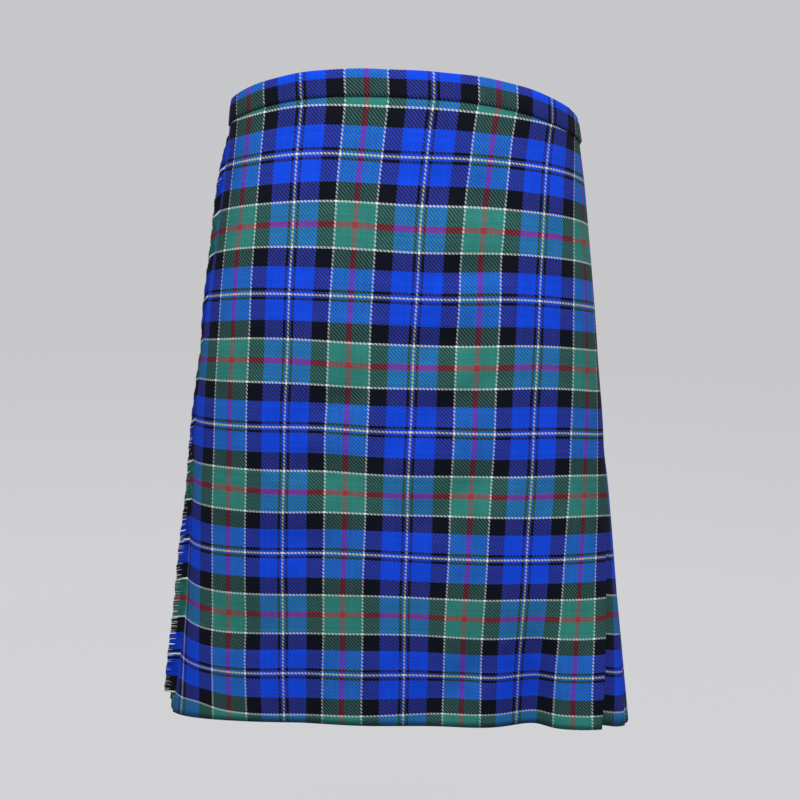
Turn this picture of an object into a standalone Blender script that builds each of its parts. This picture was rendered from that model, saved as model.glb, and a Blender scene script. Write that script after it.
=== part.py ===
"""Knee-length wrap kilt, shown as worn, with its waistband, fringe, straps and buckles.

Units are metres with +Z up.  The wearer faces -Y, so +X is the wearer's left hip.  The origin is
the middle of the waist opening, level with the upper edge of the band in front.  The hollow inside
is empty.  Sizes below are in millimetres and are turned into metres when each solid is made.
"""
import math

import bmesh
import bpy
from mathutils import Vector

MM = 0.001

# Cloth and the gap left wherever two pieces are sewn or laid together.
WALL = 1.0
GAP = 0.35
STEP = WALL + GAP

# Overall heights, measured down from the upper edge of the band in front.
LENGTH = 614.0
BAND_HEIGHT = 26.0
BAND_WALL = 1.0
WAIST_TILT = 0.033
WAIST_DIP = 20.0
WAIST_DIP_POWER = 3.0
BACK_RISE = 4.0
HEM_SIDE_DROP = 9.0
HEM_CORNER_DROP = 3.0
HEM_EDGE_DROP = 3.0

# Body section at each drop: half widths, depths and how square each quarter is.
SECTION_COLUMNS = ("drop", "left_hip", "right_hip", "front", "back", "square_left", "square_right",
                   "square_back")
SECTIONS = (
    (0.0, 166.0, 165.5, 105.0, 110.0, 2.10, 2.10, 2.20),
    (60.0, 175.0, 171.5, 106.5, 121.0, 2.20, 2.20, 2.20),
    (130.0, 182.5, 180.5, 107.5, 132.0, 2.40, 2.40, 2.25),
    (200.0, 189.3, 189.5, 107.5, 139.0, 2.65, 2.55, 2.30),
    (300.0, 198.5, 199.5, 107.5, 143.0, 2.80, 2.60, 2.30),
    (400.0, 207.5, 206.5, 107.5, 145.0, 3.00, 2.55, 2.30),
    (500.0, 216.3, 213.5, 107.5, 147.0, 3.60, 2.50, 2.30),
    (560.0, 221.2, 219.0, 107.5, 149.0, 4.40, 2.50, 2.30),
    (614.0, 226.0, 223.5, 107.5, 151.0, 5.00, 2.50, 2.30),
)

# Reach of the over-apron to each side of the middle of the front, along the cloth.
APRON_COLUMNS = ("drop", "to_right_hip", "to_left_hip", "flare")
APRON = (
    (0.0, 213.0, 215.0, 0.0),
    (60.0, 208.0, 215.5, 0.0),
    (130.0, 202.0, 216.0, 0.0),
    (200.0, 210.0, 216.5, 0.0),
    (300.0, 219.0, 217.0, 0.0),
    (400.0, 219.0, 214.5, 1.0),
    (460.0, 219.5, 209.5, 3.5),
    (520.0, 221.0, 204.0, 7.0),
    (614.0, 236.0, 196.5, 11.5),
)
OVER_OUT = 4.9
OVER_OUT_EDGE = 7.2
UNDER_OUT = 0.7
APRON_STATIONS = 30
DEEP_PLEAT = 35.0
UNDER_SHORT = 52.0
UNDER_STATIONS = 26

# Knife pleats from the left hip round the back to the right hip.
PLEATS = 24
PLEATS_LEFT = 12
PLEAT_COVER = 0.7
PLEAT_LOW = 0.7
PLEAT_RISE = 2.0 * STEP * (1.0 + PLEAT_COVER)
PLEAT_HIGH = PLEAT_LOW + PLEAT_RISE
PLEAT_OPEN = 1.4
EDGE_CLEAR = 4.0

# Rows of points down the cloth, as shares of its length.
ROWS = (0.0, 0.045, 0.13, 0.26, 0.40, 0.54, 0.68, 0.80, 0.90, 1.0)

# Soft folds: middle across, spread, start and end of the drop, depth toward the back.
FOLD_COLUMNS = ("across", "spread", "from_drop", "to_drop", "depth")
FOLDS = (
    (134.0, 23.0, 470.0, 614.0, 15.0),
    (84.0, 34.0, 330.0, 520.0, -3.5),
    (-118.0, 40.0, 360.0, 614.0, 4.0),
    (-30.0, 46.0, 380.0, 614.0, -3.5),
)
SWING_COUNT = 7.0
SWING = 2.6

# Fringe along the free edge of the over-apron.
FRINGE_STRIP = 3.6
FRINGE_FROM = 34.0
FRINGE_TO = 584.0
FRINGE_STRANDS = 120
FRINGE_LENGTH = 15.0
FRINGE_DROOP = 4.5
FRINGE_THICK = 0.9

# How far the tips of the fringe stand off the line of the cloth.
FRINGE_LIFT_COLUMNS = ("drop", "lift")
FRINGE_LIFTS = (
    (34.0, 4.8),
    (60.0, 6.2),
    (130.0, 4.2),
    (240.0, 1.2),
    (360.0, 2.6),
    (500.0, 7.4),
    (584.0, 6.4),
)

# Strap and buckle at each hip, along the band.
STRAP_WIDTH = 19.0
STRAP_WALL = 1.8
TAB_WALL = 1.4
FRAME_LONG = 24.0
FRAME_HIGH = 28.0
FRAME_WIRE = 2.6
PRONG_WIDE = 2.2
PRONG_THICK = 1.4
BUCKLE_AT = 58.0
STRAP_TAIL = 52.0
TAB_LENGTH = 30.0
STRAP_START = 3.0
APRON_BUTT = 0.6


def lerp(a, b, t):
    """Value between a and b."""
    return a + (b - a) * t


def smooth(a, b, value):
    """Soft step from 0 at a to 1 at b."""
    t = min(1.0, max(0.0, (value - a) / (b - a)))
    return t * t * (3.0 - 2.0 * t)


def read_table(table, drop):
    """Row of a table at a drop, through a smooth curve over its rows."""
    last = len(table) - 1
    i = 0
    while i < last - 1 and drop > table[i + 1][0]:
        i += 1
    x0, x1 = table[i][0], table[i + 1][0]
    t = min(1.0, max(0.0, (drop - x0) / (x1 - x0)))
    values = []
    for column in range(1, len(table[0])):
        y0, y1 = table[i][column], table[i + 1][column]
        before = table[max(i - 1, 0)]
        after = table[min(i + 2, last)]
        slope0 = (y1 - before[column]) / (x1 - before[0])
        slope1 = (after[column] - y0) / (after[0] - x0)
        h = x1 - x0
        t2, t3 = t * t, t * t * t
        values.append((2 * t3 - 3 * t2 + 1) * y0 + (t3 - 2 * t2 + t) * h * slope0
                      + (3 * t2 - 2 * t3) * y1 + (t3 - t2) * h * slope1)
    return values


class Ring:
    """Closed body line at one drop, measured along its length from the middle of the front."""

    STEPS = 720

    def __init__(self, drop):
        left, right, front, back, sq_left, sq_right, sq_back = read_table(SECTIONS, drop)
        self.half = 0.5 * (left + right)
        self.front = front
        self.points = []
        self.run = [0.0]
        for i in range(self.STEPS + 1):
            angle = -0.5 * math.pi + 2.0 * math.pi * i / self.STEPS
            c, s = math.cos(angle), math.sin(angle)
            wide = left if c > 0.0 else right
            deep = back if s > 0.0 else front
            if s > 0.0:
                power = sq_back
            else:
                power = sq_left if c > 0.0 else sq_right
            reach = ((abs(c) / wide) ** power + (abs(s) / deep) ** power) ** (-1.0 / power)
            self.points.append((reach * c, reach * s))
        for a, b in zip(self.points, self.points[1:]):
            self.run.append(self.run[-1] + math.hypot(b[0] - a[0], b[1] - a[1]))
        self.length = self.run[-1]

    def at(self, along):
        """Point on the line and the outward direction there."""
        along = along % self.length
        low, high = 0, self.STEPS
        while high - low > 1:
            mid = (low + high) // 2
            if self.run[mid] <= along:
                low = mid
            else:
                high = mid
        t = (along - self.run[low]) / (self.run[high] - self.run[low])
        a, b = self.points[low], self.points[high]
        before = self.points[(low - 3) % self.STEPS]
        after = self.points[(high + 3) % self.STEPS]
        tx, ty = after[0] - before[0], after[1] - before[1]
        size = math.hypot(tx, ty)
        return lerp(a[0], b[0], t), lerp(a[1], b[1], t), ty / size, -tx / size


RINGS = {}


def ring(drop):
    """Ring at a drop, made once."""
    key = round(drop, 4)
    if key not in RINGS:
        RINGS[key] = Ring(drop)
    return RINGS[key]


def top_height(drop, x, y):
    """Height of the upper edge of the band over a point of the body line."""
    share = min(1.0, abs(x) / ring(drop).half)
    if y < 0.0:
        dip = WAIST_DIP * share ** WAIST_DIP_POWER
    else:
        dip = WAIST_DIP - BACK_RISE * (1.0 - share ** 2)
    return -WAIST_TILT * x - dip


def hem_height(x, y):
    """Height of the hem under a point of the body line."""
    front_edge = smooth(-60.0, -140.0, x) * smooth(-30.0, -60.0, y)
    return (-LENGTH - HEM_SIDE_DROP * smooth(-114.0, -30.0, y) - HEM_EDGE_DROP * front_edge
            - HEM_CORNER_DROP * smooth(194.0, 216.0, x))


def fold_shift(x, y, drop):
    """How far the soft folds of the front move the cloth toward the back."""
    shift = 0.0
    for across, spread, start, end, depth in FOLDS:
        ramp = smooth(start, end, drop)
        shift += depth * ramp * math.exp(-((x - across) / spread) ** 2)
    return shift * smooth(-35.0, -85.0, y)


def place(drop, along, out, height=None, flare=0.0):
    """Point of the cloth: how far down, how far along, how far out from the body line."""
    line = ring(drop)
    x, y, nx, ny = line.at(along)
    top = top_height(drop, x, y)
    if height is None:
        cloth_top = top - BAND_WALL - GAP
        z = lerp(cloth_top, hem_height(x, y), drop / LENGTH)
    else:
        z = top + height
    swing = SWING * smooth(260.0, LENGTH, drop) * smooth(-40.0, 40.0, y)
    out += swing * math.sin(SWING_COUNT * 2.0 * math.pi * along / line.length)
    px, py = x + nx * out, y + ny * out
    py += fold_shift(px, py, drop) - flare
    return Vector((px, py, z))


def apron_reach(drop):
    """Reach of the over-apron to the right hip and to the left hip, and its flare."""
    return read_table(APRON, drop)


def apron_along(drop, share):
    """Place along the body line at a share of the over-apron's width."""
    right, left, _ = apron_reach(drop)
    return lerp(-right, left, share)


def apron_out(drop, share):
    """How far the over-apron stands off the body line."""
    right, left, _ = apron_reach(drop)
    from_edge = share * (right + left)
    to_fold = (1.0 - share) * (right + left)
    edge = OVER_OUT_EDGE - OVER_OUT
    fold = PLEAT_HIGH - OVER_OUT
    return OVER_OUT + edge * smooth(90.0, 12.0, from_edge) + fold * smooth(90.0, DEEP_PLEAT + 6.0, to_fold)


def apron_flare(drop, to_fold):
    """How far the lower corner of the over-apron swings forward near its folded edge."""
    return max(0.0, apron_reach(drop)[2]) * smooth(75.0, 4.0, to_fold)


def pleat_line(drop, count):
    """Place along the body line of the visible start of a pleat."""
    right, left, _ = apron_reach(drop)
    end = ring(drop).length - right - EDGE_CLEAR
    return lerp(left, end, count / PLEATS)


def pleat_width(drop):
    """Visible width of one pleat."""
    return pleat_line(drop, 1) - pleat_line(drop, 0)


def under_along(drop, share):
    """Place along the body line at a share of the under-apron's width."""
    right, left, _ = apron_reach(drop)
    length = ring(drop).length
    start = length - right - EDGE_CLEAR
    return lerp(start, length + left - UNDER_SHORT, share)


def clear_scene():
    """Take away whatever the new scene came with."""
    for item in list(bpy.data.objects):
        bpy.data.objects.remove(item, do_unlink=True)


def material(name, color, rough, metal=0.0):
    """Principled material."""
    found = bpy.data.materials.get(name)
    if found:
        return found
    made = bpy.data.materials.new(name)
    made.use_nodes = True
    shader = made.node_tree.nodes["Principled BSDF"]
    shader.inputs["Base Color"].default_value = (*color, 1.0)
    shader.inputs["Roughness"].default_value = rough
    shader.inputs["Metallic"].default_value = metal
    return made


def solid(name, verts, faces, mat):
    """Named object from points in millimetres, with its faces turned outward."""
    mesh = bpy.data.meshes.new(name)
    mesh.from_pydata([tuple(c * MM for c in v) for v in verts], [], faces)
    work = bmesh.new()
    work.from_mesh(mesh)
    bmesh.ops.recalc_face_normals(work, faces=work.faces)
    if work.calc_volume(signed=True) < 0.0:
        bmesh.ops.reverse_faces(work, faces=work.faces)
    bmesh.ops.triangulate(work, faces=work.faces)
    work.to_mesh(mesh)
    work.free()
    mesh.materials.append(mat)
    made = bpy.data.objects.new(name, mesh)
    bpy.context.scene.collection.objects.link(made)
    return made


def skins(line, half):
    """Points on each side of a line seen from above, with mitred corners."""
    left, right = [], []
    for i, p in enumerate(line):
        dirs = []
        if i > 0:
            dirs.append((p - line[i - 1]).to_2d().normalized())
        if i < len(line) - 1:
            dirs.append((line[i + 1] - p).to_2d().normalized())
        mean = sum(dirs, Vector((0.0, 0.0)))
        normal = Vector((-mean.y, mean.x)).normalized()
        edge = Vector((-dirs[0].y, dirs[0].x))
        reach = half / max(0.35, normal.dot(edge))
        shift = Vector((normal.x * reach, normal.y * reach, 0.0))
        left.append(p + shift)
        right.append(p - shift)
    return left, right


def ribbon(name, rows, half, mat):
    """Cloth wall from rows of points, each row running along the cloth."""
    verts, faces = [], []
    count = len(rows[0])
    for row in rows:
        left, right = skins(row, half)
        verts += left + right
    def at(r, side, i):
        return (r * 2 + side) * count + i
    last = len(rows) - 1
    for i in range(count - 1):
        for r in range(last):
            faces.append((at(r, 0, i), at(r, 0, i + 1), at(r + 1, 0, i + 1), at(r + 1, 0, i)))
            faces.append((at(r, 1, i), at(r + 1, 1, i), at(r + 1, 1, i + 1), at(r, 1, i + 1)))
        for r in (0, last):
            faces.append((at(r, 0, i), at(r, 1, i), at(r, 1, i + 1), at(r, 0, i + 1)))
    for r in range(last):
        for i in (0, count - 1):
            faces.append((at(r, 0, i), at(r + 1, 0, i), at(r + 1, 1, i), at(r, 1, i)))
    return solid(name, verts, faces, mat)


def over_apron(mat):
    """Front panel with its free edge, folded edge and the deep pleat turned in behind it."""
    rows = []
    for share_down in ROWS:
        drop = share_down * LENGTH
        right, left, _ = apron_reach(drop)
        width = right + left
        row = []
        for i in range(APRON_STATIONS + 1):
            share = i / APRON_STATIONS
            flare = apron_flare(drop, (1.0 - share) * width)
            row.append(place(drop, apron_along(drop, share), apron_out(drop, share), flare=flare))
        for back in (0.0, DEEP_PLEAT / 3.0, DEEP_PLEAT * 2.0 / 3.0, DEEP_PLEAT):
            flare = apron_flare(drop, back)
            row.append(place(drop, left - back, PLEAT_HIGH - STEP, flare=flare))
        rows.append(row)
    return ribbon("over_apron", rows, 0.5 * WALL, mat)


def pleat_out(drop, count, out):
    """Reach of a layer of the pleats, which open toward the hem and most of all at the back."""
    middle = math.sin(math.pi * min(1.0, max(0.0, count / PLEATS))) ** 0.6
    return PLEAT_LOW + (out - PLEAT_LOW) * (1.0 + PLEAT_OPEN * middle * smooth(190.0, LENGTH, drop))


def pleated_length(name, first, last, mat):
    """Length of knife pleats: each face runs under the pleat before it and folds back at its edge."""
    rows = []
    for share_down in ROWS:
        drop = share_down * LENGTH
        width = pleat_width(drop)
        cover = PLEAT_COVER * width
        slope = PLEAT_RISE / (width + cover)
        row = []
        for count in range(first, last):
            start, end = pleat_line(drop, count), pleat_line(drop, count + 1)
            if count == 0:
                under = PLEAT_HIGH - 2.0 * STEP - 1.0 * smooth(150.0, 420.0, drop)
                for back in (DEEP_PLEAT, DEEP_PLEAT * 2.0 / 3.0, DEEP_PLEAT / 3.0):
                    row.append(place(drop, start - back, under, flare=apron_flare(drop, back)
                                     * smooth(0.0, DEEP_PLEAT, back)))
            else:
                row.append(place(drop, start - cover, PLEAT_LOW))
            turn = count + 1.0 - PLEAT_COVER
            row.append(place(drop, start, pleat_out(drop, count, PLEAT_LOW + cover * slope)))
            row.append(place(drop, end - cover, pleat_out(drop, turn, PLEAT_HIGH - cover * slope)))
            row.append(place(drop, end, pleat_out(drop, count + 1, PLEAT_HIGH)))
            row.append(place(drop, end, pleat_out(drop, count + 1, PLEAT_HIGH - STEP)))
            row.append(place(drop, end - cover, pleat_out(drop, turn, PLEAT_LOW + STEP)))
        rows.append(row)
    return ribbon(name, rows, 0.5 * WALL, mat)


def under_apron(mat):
    """Inner front panel, from behind the last pleat to its free edge near the left hip."""
    rows = []
    for share_down in ROWS:
        drop = share_down * LENGTH
        cover = PLEAT_COVER * pleat_width(drop)
        start = pleat_line(drop, PLEATS)
        row = [place(drop, start - cover, PLEAT_LOW)]
        for i in range(UNDER_STATIONS + 1):
            row.append(place(drop, under_along(drop, i / UNDER_STATIONS), UNDER_OUT))
        rows.append(row)
    return ribbon("under_apron", rows, 0.5 * WALL, mat)


def band(name, stations, mat):
    """Waistband length folded over the upper edge; stations give place, inner and outer reach."""
    verts, faces = [], []
    for along_of, inner, outer in stations:
        profile = (
            (outer, -BAND_HEIGHT), (outer, 0.0), (inner, 0.0), (inner, -BAND_HEIGHT),
            (inner + BAND_WALL, -BAND_HEIGHT), (inner + BAND_WALL, -BAND_WALL),
            (outer - BAND_WALL, -BAND_WALL), (outer - BAND_WALL, -BAND_HEIGHT),
        )
        for out, down in profile:
            verts.append(place(-down, along_of(-down), out, height=down))
    size = 8
    for s in range(len(stations) - 1):
        for k in range(size):
            a, b = s * size + k, s * size + (k + 1) % size
            faces.append((a, b, b + size, a + size))
    for s in (0, len(stations) - 1):
        o = s * size
        faces += [(o, o + 1, o + 6, o + 7), (o + 1, o + 2, o + 5, o + 6), (o + 2, o + 3, o + 4, o + 5)]
    return solid(name, verts, faces, mat)


def band_front(mat):
    """Band over the over-apron, reaching in behind the deep pleat at the folded edge."""
    stations = []
    for i in range(APRON_STATIONS + 1):
        share = i / APRON_STATIONS
        right, left, _ = apron_reach(0.0)
        to_fold = (1.0 - share) * (right + left)
        out = apron_out(0.0, share)
        inside = lerp(out - 0.5 * WALL, PLEAT_LOW - 0.5 * WALL, smooth(44.0, 34.0, to_fold))
        stations.append((lambda drop, share=share: apron_along(drop, share),
                         inside - GAP - BAND_WALL, out + 0.5 * WALL + GAP + BAND_WALL))
    return band("band_front", stations, mat)


def band_back(mat):
    """Band over the pleats, from the folded edge of the apron round to the right hip."""
    inner = PLEAT_LOW - 0.5 * WALL - GAP - BAND_WALL
    outer = PLEAT_HIGH + 0.5 * WALL + GAP + BAND_WALL
    stations = []
    for count in range(PLEATS):
        for part in (0.0, 1.0 - PLEAT_COVER):
            step = GAP / 20.0 if count == 0 and part == 0.0 else 0.0
            stations.append((lambda drop, c=count, p=part + step: pleat_line(drop, c + p), inner, outer))
    stations.append((lambda drop: pleat_line(drop, PLEATS) + 0.6, inner, outer))
    return band("band_back", stations, mat)


def band_under(mat):
    """Band over the under-apron."""
    inner = UNDER_OUT - 0.5 * WALL - GAP - BAND_WALL
    outer = UNDER_OUT + 0.5 * WALL + GAP + BAND_WALL
    stations = []
    for i in range(UNDER_STATIONS + 1):
        start = 0.95 + GAP if i == 0 else 0.0
        stations.append((lambda drop, i=i, start=start: under_along(drop, i / UNDER_STATIONS) + start,
                         inner, outer))
    return band("band_under", stations, mat)


def fringe(mat):
    """Narrow strip along the free edge with unwoven threads standing from it."""
    half = 0.5 * FRINGE_THICK
    verts, faces = [], []
    pitch = (FRINGE_TO - FRINGE_FROM) / FRINGE_STRANDS
    levels = [FRINGE_FROM]
    for i in range(FRINGE_STRANDS):
        start = FRINGE_FROM + pitch * i
        levels += [start + 0.5 * (pitch - FRINGE_THICK), start + 0.5 * (pitch + FRINGE_THICK)]
    levels.append(FRINGE_TO)

    def row_at(drop, from_edge, lift):
        right = apron_reach(drop)[0]
        return place(drop, -right - GAP - from_edge, OVER_OUT_EDGE + lift)

    def at(drop, from_edge, lift):
        rows = [LENGTH * share for share in ROWS]
        i = 0
        while i < len(rows) - 2 and drop > rows[i + 1]:
            i += 1
        t = (drop - rows[i]) / (rows[i + 1] - rows[i])
        return row_at(rows[i], from_edge, lift).lerp(row_at(rows[i + 1], from_edge, lift), t)

    for drop in levels:
        verts += [at(drop, 0.0, -half), at(drop, 0.0, half),
                  at(drop, FRINGE_STRIP, half), at(drop, FRINGE_STRIP, -half)]
    last = len(levels) - 1
    for r in range(last):
        a, b = 4 * r, 4 * (r + 1)
        faces += [(a, a + 1, b + 1, b), (a + 1, a + 2, b + 2, b + 1), (a + 3, a, b, b + 3)]
        if r % 2 == 0:
            faces.append((a + 2, a + 3, b + 3, b + 2))
    faces += [(0, 1, 2, 3), (4 * last, 4 * last + 1, 4 * last + 2, 4 * last + 3)]
    for i in range(FRINGE_STRANDS):
        r = 2 * i + 1
        root = (4 * r + 2, 4 * r + 3, 4 * r + 7, 4 * r + 6)
        length = FRINGE_LENGTH * (0.86 + 0.14 * math.sin(2.3 * i) + 0.06 * math.sin(5.1 * i))
        lean = 0.9 * math.sin(1.7 * i)
        mid = 0.5 * (levels[r] + levels[r + 1]) + FRINGE_DROOP + 0.25 * lean
        thin = 0.7 * half
        lift = 0.35 * lean + read_table(FRINGE_LIFTS, 0.5 * (levels[r] + levels[r + 1]))[0]
        reach = FRINGE_STRIP + length
        made = len(verts)
        verts += [at(mid - thin, reach, lift + thin), at(mid - thin, reach, lift - thin),
                  at(mid + thin, reach, lift - thin), at(mid + thin, reach, lift + thin)]
        for k in range(4):
            n = (k + 1) % 4
            faces.append((root[k], root[n], made + n, made + k))
        faces.append((made, made + 1, made + 2, made + 3))
    return solid("fringe", verts, faces, mat)


def hip_frame(turn):
    """Place on the band at a hip: distance from the seam, reach out and height, as a point."""
    def at(distance, out, high):
        drop = 0.5 * BAND_HEIGHT - high
        right, left, _ = apron_reach(drop)
        if turn > 0:
            along = left + distance
        else:
            along = ring(drop).length - right - distance
        return place(drop, along, out, height=-drop)
    return at


def finer(line, most=4.5):
    """Line with its long stretches split, and the new number of each old station."""
    points, places = [line[0]], [0]
    for a, b in zip(line, line[1:]):
        parts = max(1, math.ceil(math.hypot(b[0] - a[0], b[1] - a[1]) / most))
        for k in range(1, parts + 1):
            points.append((lerp(a[0], b[0], k / parts), lerp(a[1], b[1], k / parts)))
        places.append(len(points) - 1)
    return points, places


def strip(name, coarse, at, wide, wall, mat, hole=None, tip=0.0):
    """Flat strap: line gives distance and reach of its middle; hole is a pair of stations."""
    line, places = finer(coarse)
    if hole is not None:
        hole = (places[hole[0]], places[hole[1]])
    points = [Vector((d, o, 0.0)) for d, o in line]
    upper, lower = skins(points, 0.5 * wall)
    slot = 0.5 * PRONG_WIDE + GAP
    columns = (-0.5 * wide, -slot, slot, 0.5 * wide)
    verts, faces = [], []
    for i in range(len(line)):
        narrow = 1.0
        if tip and i == len(line) - 1:
            narrow = tip
        for side in (upper, lower):
            for c in columns:
                high = c if abs(c) < 0.4 * wide else c * narrow
                verts.append(at(side[i].x, side[i].y, high))

    def v(i, side, c):
        return (i * 2 + side) * 4 + c
    last = len(line) - 1
    for i in range(last):
        open_cell = hole is not None and hole[0] <= i < hole[1]
        for c in range(3):
            if open_cell and c == 1:
                continue
            for side in (0, 1):
                faces.append((v(i, side, c), v(i, side, c + 1), v(i + 1, side, c + 1), v(i + 1, side, c)))
        for c in (0, 3):
            faces.append((v(i, 0, c), v(i, 1, c), v(i + 1, 1, c), v(i + 1, 0, c)))
        if open_cell:
            for c in (1, 2):
                faces.append((v(i, 0, c), v(i, 1, c), v(i + 1, 1, c), v(i + 1, 0, c)))
    ends = [0, last]
    for i in ends:
        for c in range(3):
            faces.append((v(i, 0, c), v(i, 0, c + 1), v(i, 1, c + 1), v(i, 1, c)))
    if hole is not None:
        for i in hole:
            faces.append((v(i, 0, 1), v(i, 0, 2), v(i, 1, 2), v(i, 1, 1)))
    return solid(name, verts, faces, mat)


def buckle_frame(name, at, middle, out, mat):
    """Rounded rectangular ring of round wire."""
    verts, faces = [], []
    corner = 5.0
    half_long, half_high = 0.5 * FRAME_LONG, 0.5 * FRAME_HIGH
    path = []
    for cx, cz, start in ((1, 1, 0.0), (-1, 1, 90.0), (-1, -1, 180.0), (1, -1, 270.0)):
        for k in range(4):
            a = math.radians(start + 30.0 * k)
            path.append((cx * (half_long - corner) + corner * math.cos(a),
                         cz * (half_high - corner) + corner * math.sin(a), a))
    sides = 8
    for px, pz, a in path:
        for k in range(sides):
            b = 2.0 * math.pi * (k + 0.5) / sides
            reach = 0.5 * FRAME_WIRE * math.cos(b)
            verts.append(at(middle + px + reach * math.cos(a), out + 0.5 * FRAME_WIRE * math.sin(b),
                            pz + reach * math.sin(a)))
    count = len(path)
    for i in range(count):
        j = (i + 1) % count
        for k in range(sides):
            n = (k + 1) % sides
            faces.append((i * sides + k, i * sides + n, j * sides + n, j * sides + k))
    return solid(name, verts, faces, mat)


def bar(name, at, line, wide, thick, mat):
    """Straight-sided rod of square section along a line of distance and reach."""
    points = [Vector((d, o, 0.0)) for d, o in line]
    upper, lower = skins(points, 0.5 * thick)
    verts, faces = [], []
    for a, b in zip(upper, lower):
        verts += [at(a.x, a.y, -0.5 * wide), at(a.x, a.y, 0.5 * wide),
                  at(b.x, b.y, 0.5 * wide), at(b.x, b.y, -0.5 * wide)]
    last = len(line) - 1
    for i in range(last):
        for k in range(4):
            n = (k + 1) % 4
            faces.append((4 * i + k, 4 * i + n, 4 * i + 4 + n, 4 * i + 4 + k))
    faces += [(0, 1, 2, 3), (4 * last, 4 * last + 1, 4 * last + 2, 4 * last + 3)]
    return solid(name, verts, faces, mat)


def fastening(side, turn, leather, metal):
    """Leather strap closed through a buckle on a sewn tab, lying along the band at one hip."""
    at = hip_frame(turn)
    wire = 0.5 * FRAME_WIRE
    cloth = PLEAT_HIGH + 0.5 * WALL + GAP + BAND_WALL
    tab_mid = cloth + GAP + 0.5 * TAB_WALL
    low = cloth + GAP + 0.5 * STRAP_WALL
    frame_out = max(tab_mid + 0.5 * TAB_WALL + GAP + wire, low + 0.5 * STRAP_WALL + GAP + wire)
    tab_top = frame_out + wire + GAP + 0.5 * TAB_WALL
    prong_out = frame_out + wire + GAP + 0.5 * PRONG_THICK
    high = max(tab_top + 0.5 * TAB_WALL, prong_out + 0.5 * PRONG_THICK) + GAP + 0.5 * STRAP_WALL
    heel = BUCKLE_AT + 0.5 * FRAME_LONG
    nose = BUCKLE_AT - 0.5 * FRAME_LONG
    start = STRAP_START if turn > 0 else APRON_BUTT
    slot = nose + wire
    line = [(start, low), (14.0, low), (slot + 1.5, low), (slot + 5.5, lerp(low, high, 0.34)),
            (slot + 10.5, high), (heel + 8.0, high), (heel + 24.0, high - 1.2),
            (heel + STRAP_TAIL - 6.0, high - 1.6), (heel + STRAP_TAIL, high - 1.8)]
    strip("strap_" + side, line, at, STRAP_WIDTH, STRAP_WALL, leather, hole=(3, 4), tip=0.45)
    wrap = wire + GAP + 0.5 * TAB_WALL
    turn_in = 0.72 * wrap
    fold = [(heel + TAB_LENGTH, tab_mid), (heel + 2.0, tab_mid), (heel - turn_in, frame_out - turn_in),
            (heel - wrap, frame_out), (heel - turn_in, frame_out + turn_in), (heel + 2.0, tab_top),
            (heel + 6.0, tab_top), (heel + 12.0, tab_mid + TAB_WALL + GAP),
            (heel + 22.0, tab_mid + TAB_WALL + GAP)]
    strip("tab_" + side, fold, at, FRAME_HIGH - 4.0 * FRAME_WIRE, TAB_WALL, leather, hole=(1, 5))
    buckle_frame("buckle_" + side, at, BUCKLE_AT, frame_out, metal)
    prong = [(heel + wire, prong_out), (BUCKLE_AT, prong_out), (nose - wire, prong_out)]
    bar("prong_" + side, at, prong, PRONG_WIDE, PRONG_THICK, metal)


def build():
    """Make every piece of the kilt."""
    cloth = material("tartan_cloth", (0.05, 0.10, 0.35), 0.85)
    trim = material("tartan_band", (0.05, 0.12, 0.32), 0.85)
    threads = material("fringe_thread", (0.06, 0.11, 0.40), 0.9)
    leather = material("strap_leather", (0.02, 0.018, 0.016), 0.5)
    metal = material("buckle_metal", (0.72, 0.72, 0.70), 0.25, 1.0)
    clear_scene()
    over_apron(cloth)
    pleated_length("pleats_left", 0, PLEATS_LEFT, cloth)
    pleated_length("pleats_right", PLEATS_LEFT, PLEATS, cloth)
    under_apron(cloth)
    band_front(trim)
    band_back(trim)
    band_under(trim)
    fringe(threads)
    fastening("left", 1, leather, metal)
    fastening("right", -1, leather, metal)


build()
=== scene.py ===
"""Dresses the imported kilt: woven tartan, pleats, waistband, fringe, straps and studio."""
import math
from functools import lru_cache

import bmesh
import bpy
from bpy.props import FloatProperty, FloatVectorProperty, IntProperty, PointerProperty
from mathutils import Matrix, Vector


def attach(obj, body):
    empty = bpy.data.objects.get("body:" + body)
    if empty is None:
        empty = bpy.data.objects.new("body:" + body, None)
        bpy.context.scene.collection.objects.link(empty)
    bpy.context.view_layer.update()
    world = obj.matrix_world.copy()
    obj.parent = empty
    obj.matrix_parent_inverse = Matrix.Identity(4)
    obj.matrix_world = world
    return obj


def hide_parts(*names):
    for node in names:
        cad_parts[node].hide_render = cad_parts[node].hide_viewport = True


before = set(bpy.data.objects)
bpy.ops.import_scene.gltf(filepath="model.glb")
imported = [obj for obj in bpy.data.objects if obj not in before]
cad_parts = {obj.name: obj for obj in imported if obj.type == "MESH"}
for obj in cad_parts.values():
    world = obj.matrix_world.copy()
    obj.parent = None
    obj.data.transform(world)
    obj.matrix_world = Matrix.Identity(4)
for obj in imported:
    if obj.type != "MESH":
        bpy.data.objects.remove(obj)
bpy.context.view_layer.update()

bl_info = {
    "name": "Wrap Kilt",
    "version": (1, 0, 0),
    "blender": (4, 5, 0),
    "location": "3D View > Sidebar > Kilt",
    "description": "Builds a pleated wrap kilt of tartan twill with its band, fringe and straps",
    "category": "Add Mesh",
}

# ---------------------------------------------------------------- sizes, in millimetres

MM = 0.001
WALL = 1.0
GAP = 0.35
STEP = WALL + GAP

LENGTH = 614.0
BAND_HEIGHT = 26.0
BAND_WALL = 1.0
WAIST_TILT = 0.033
WAIST_DIP = 20.0
WAIST_DIP_POWER = 3.0
BACK_RISE = 4.0
HEM_SIDE_DROP = 9.0
HEM_CORNER_DROP = 3.0
HEM_EDGE_DROP = 3.0

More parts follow.
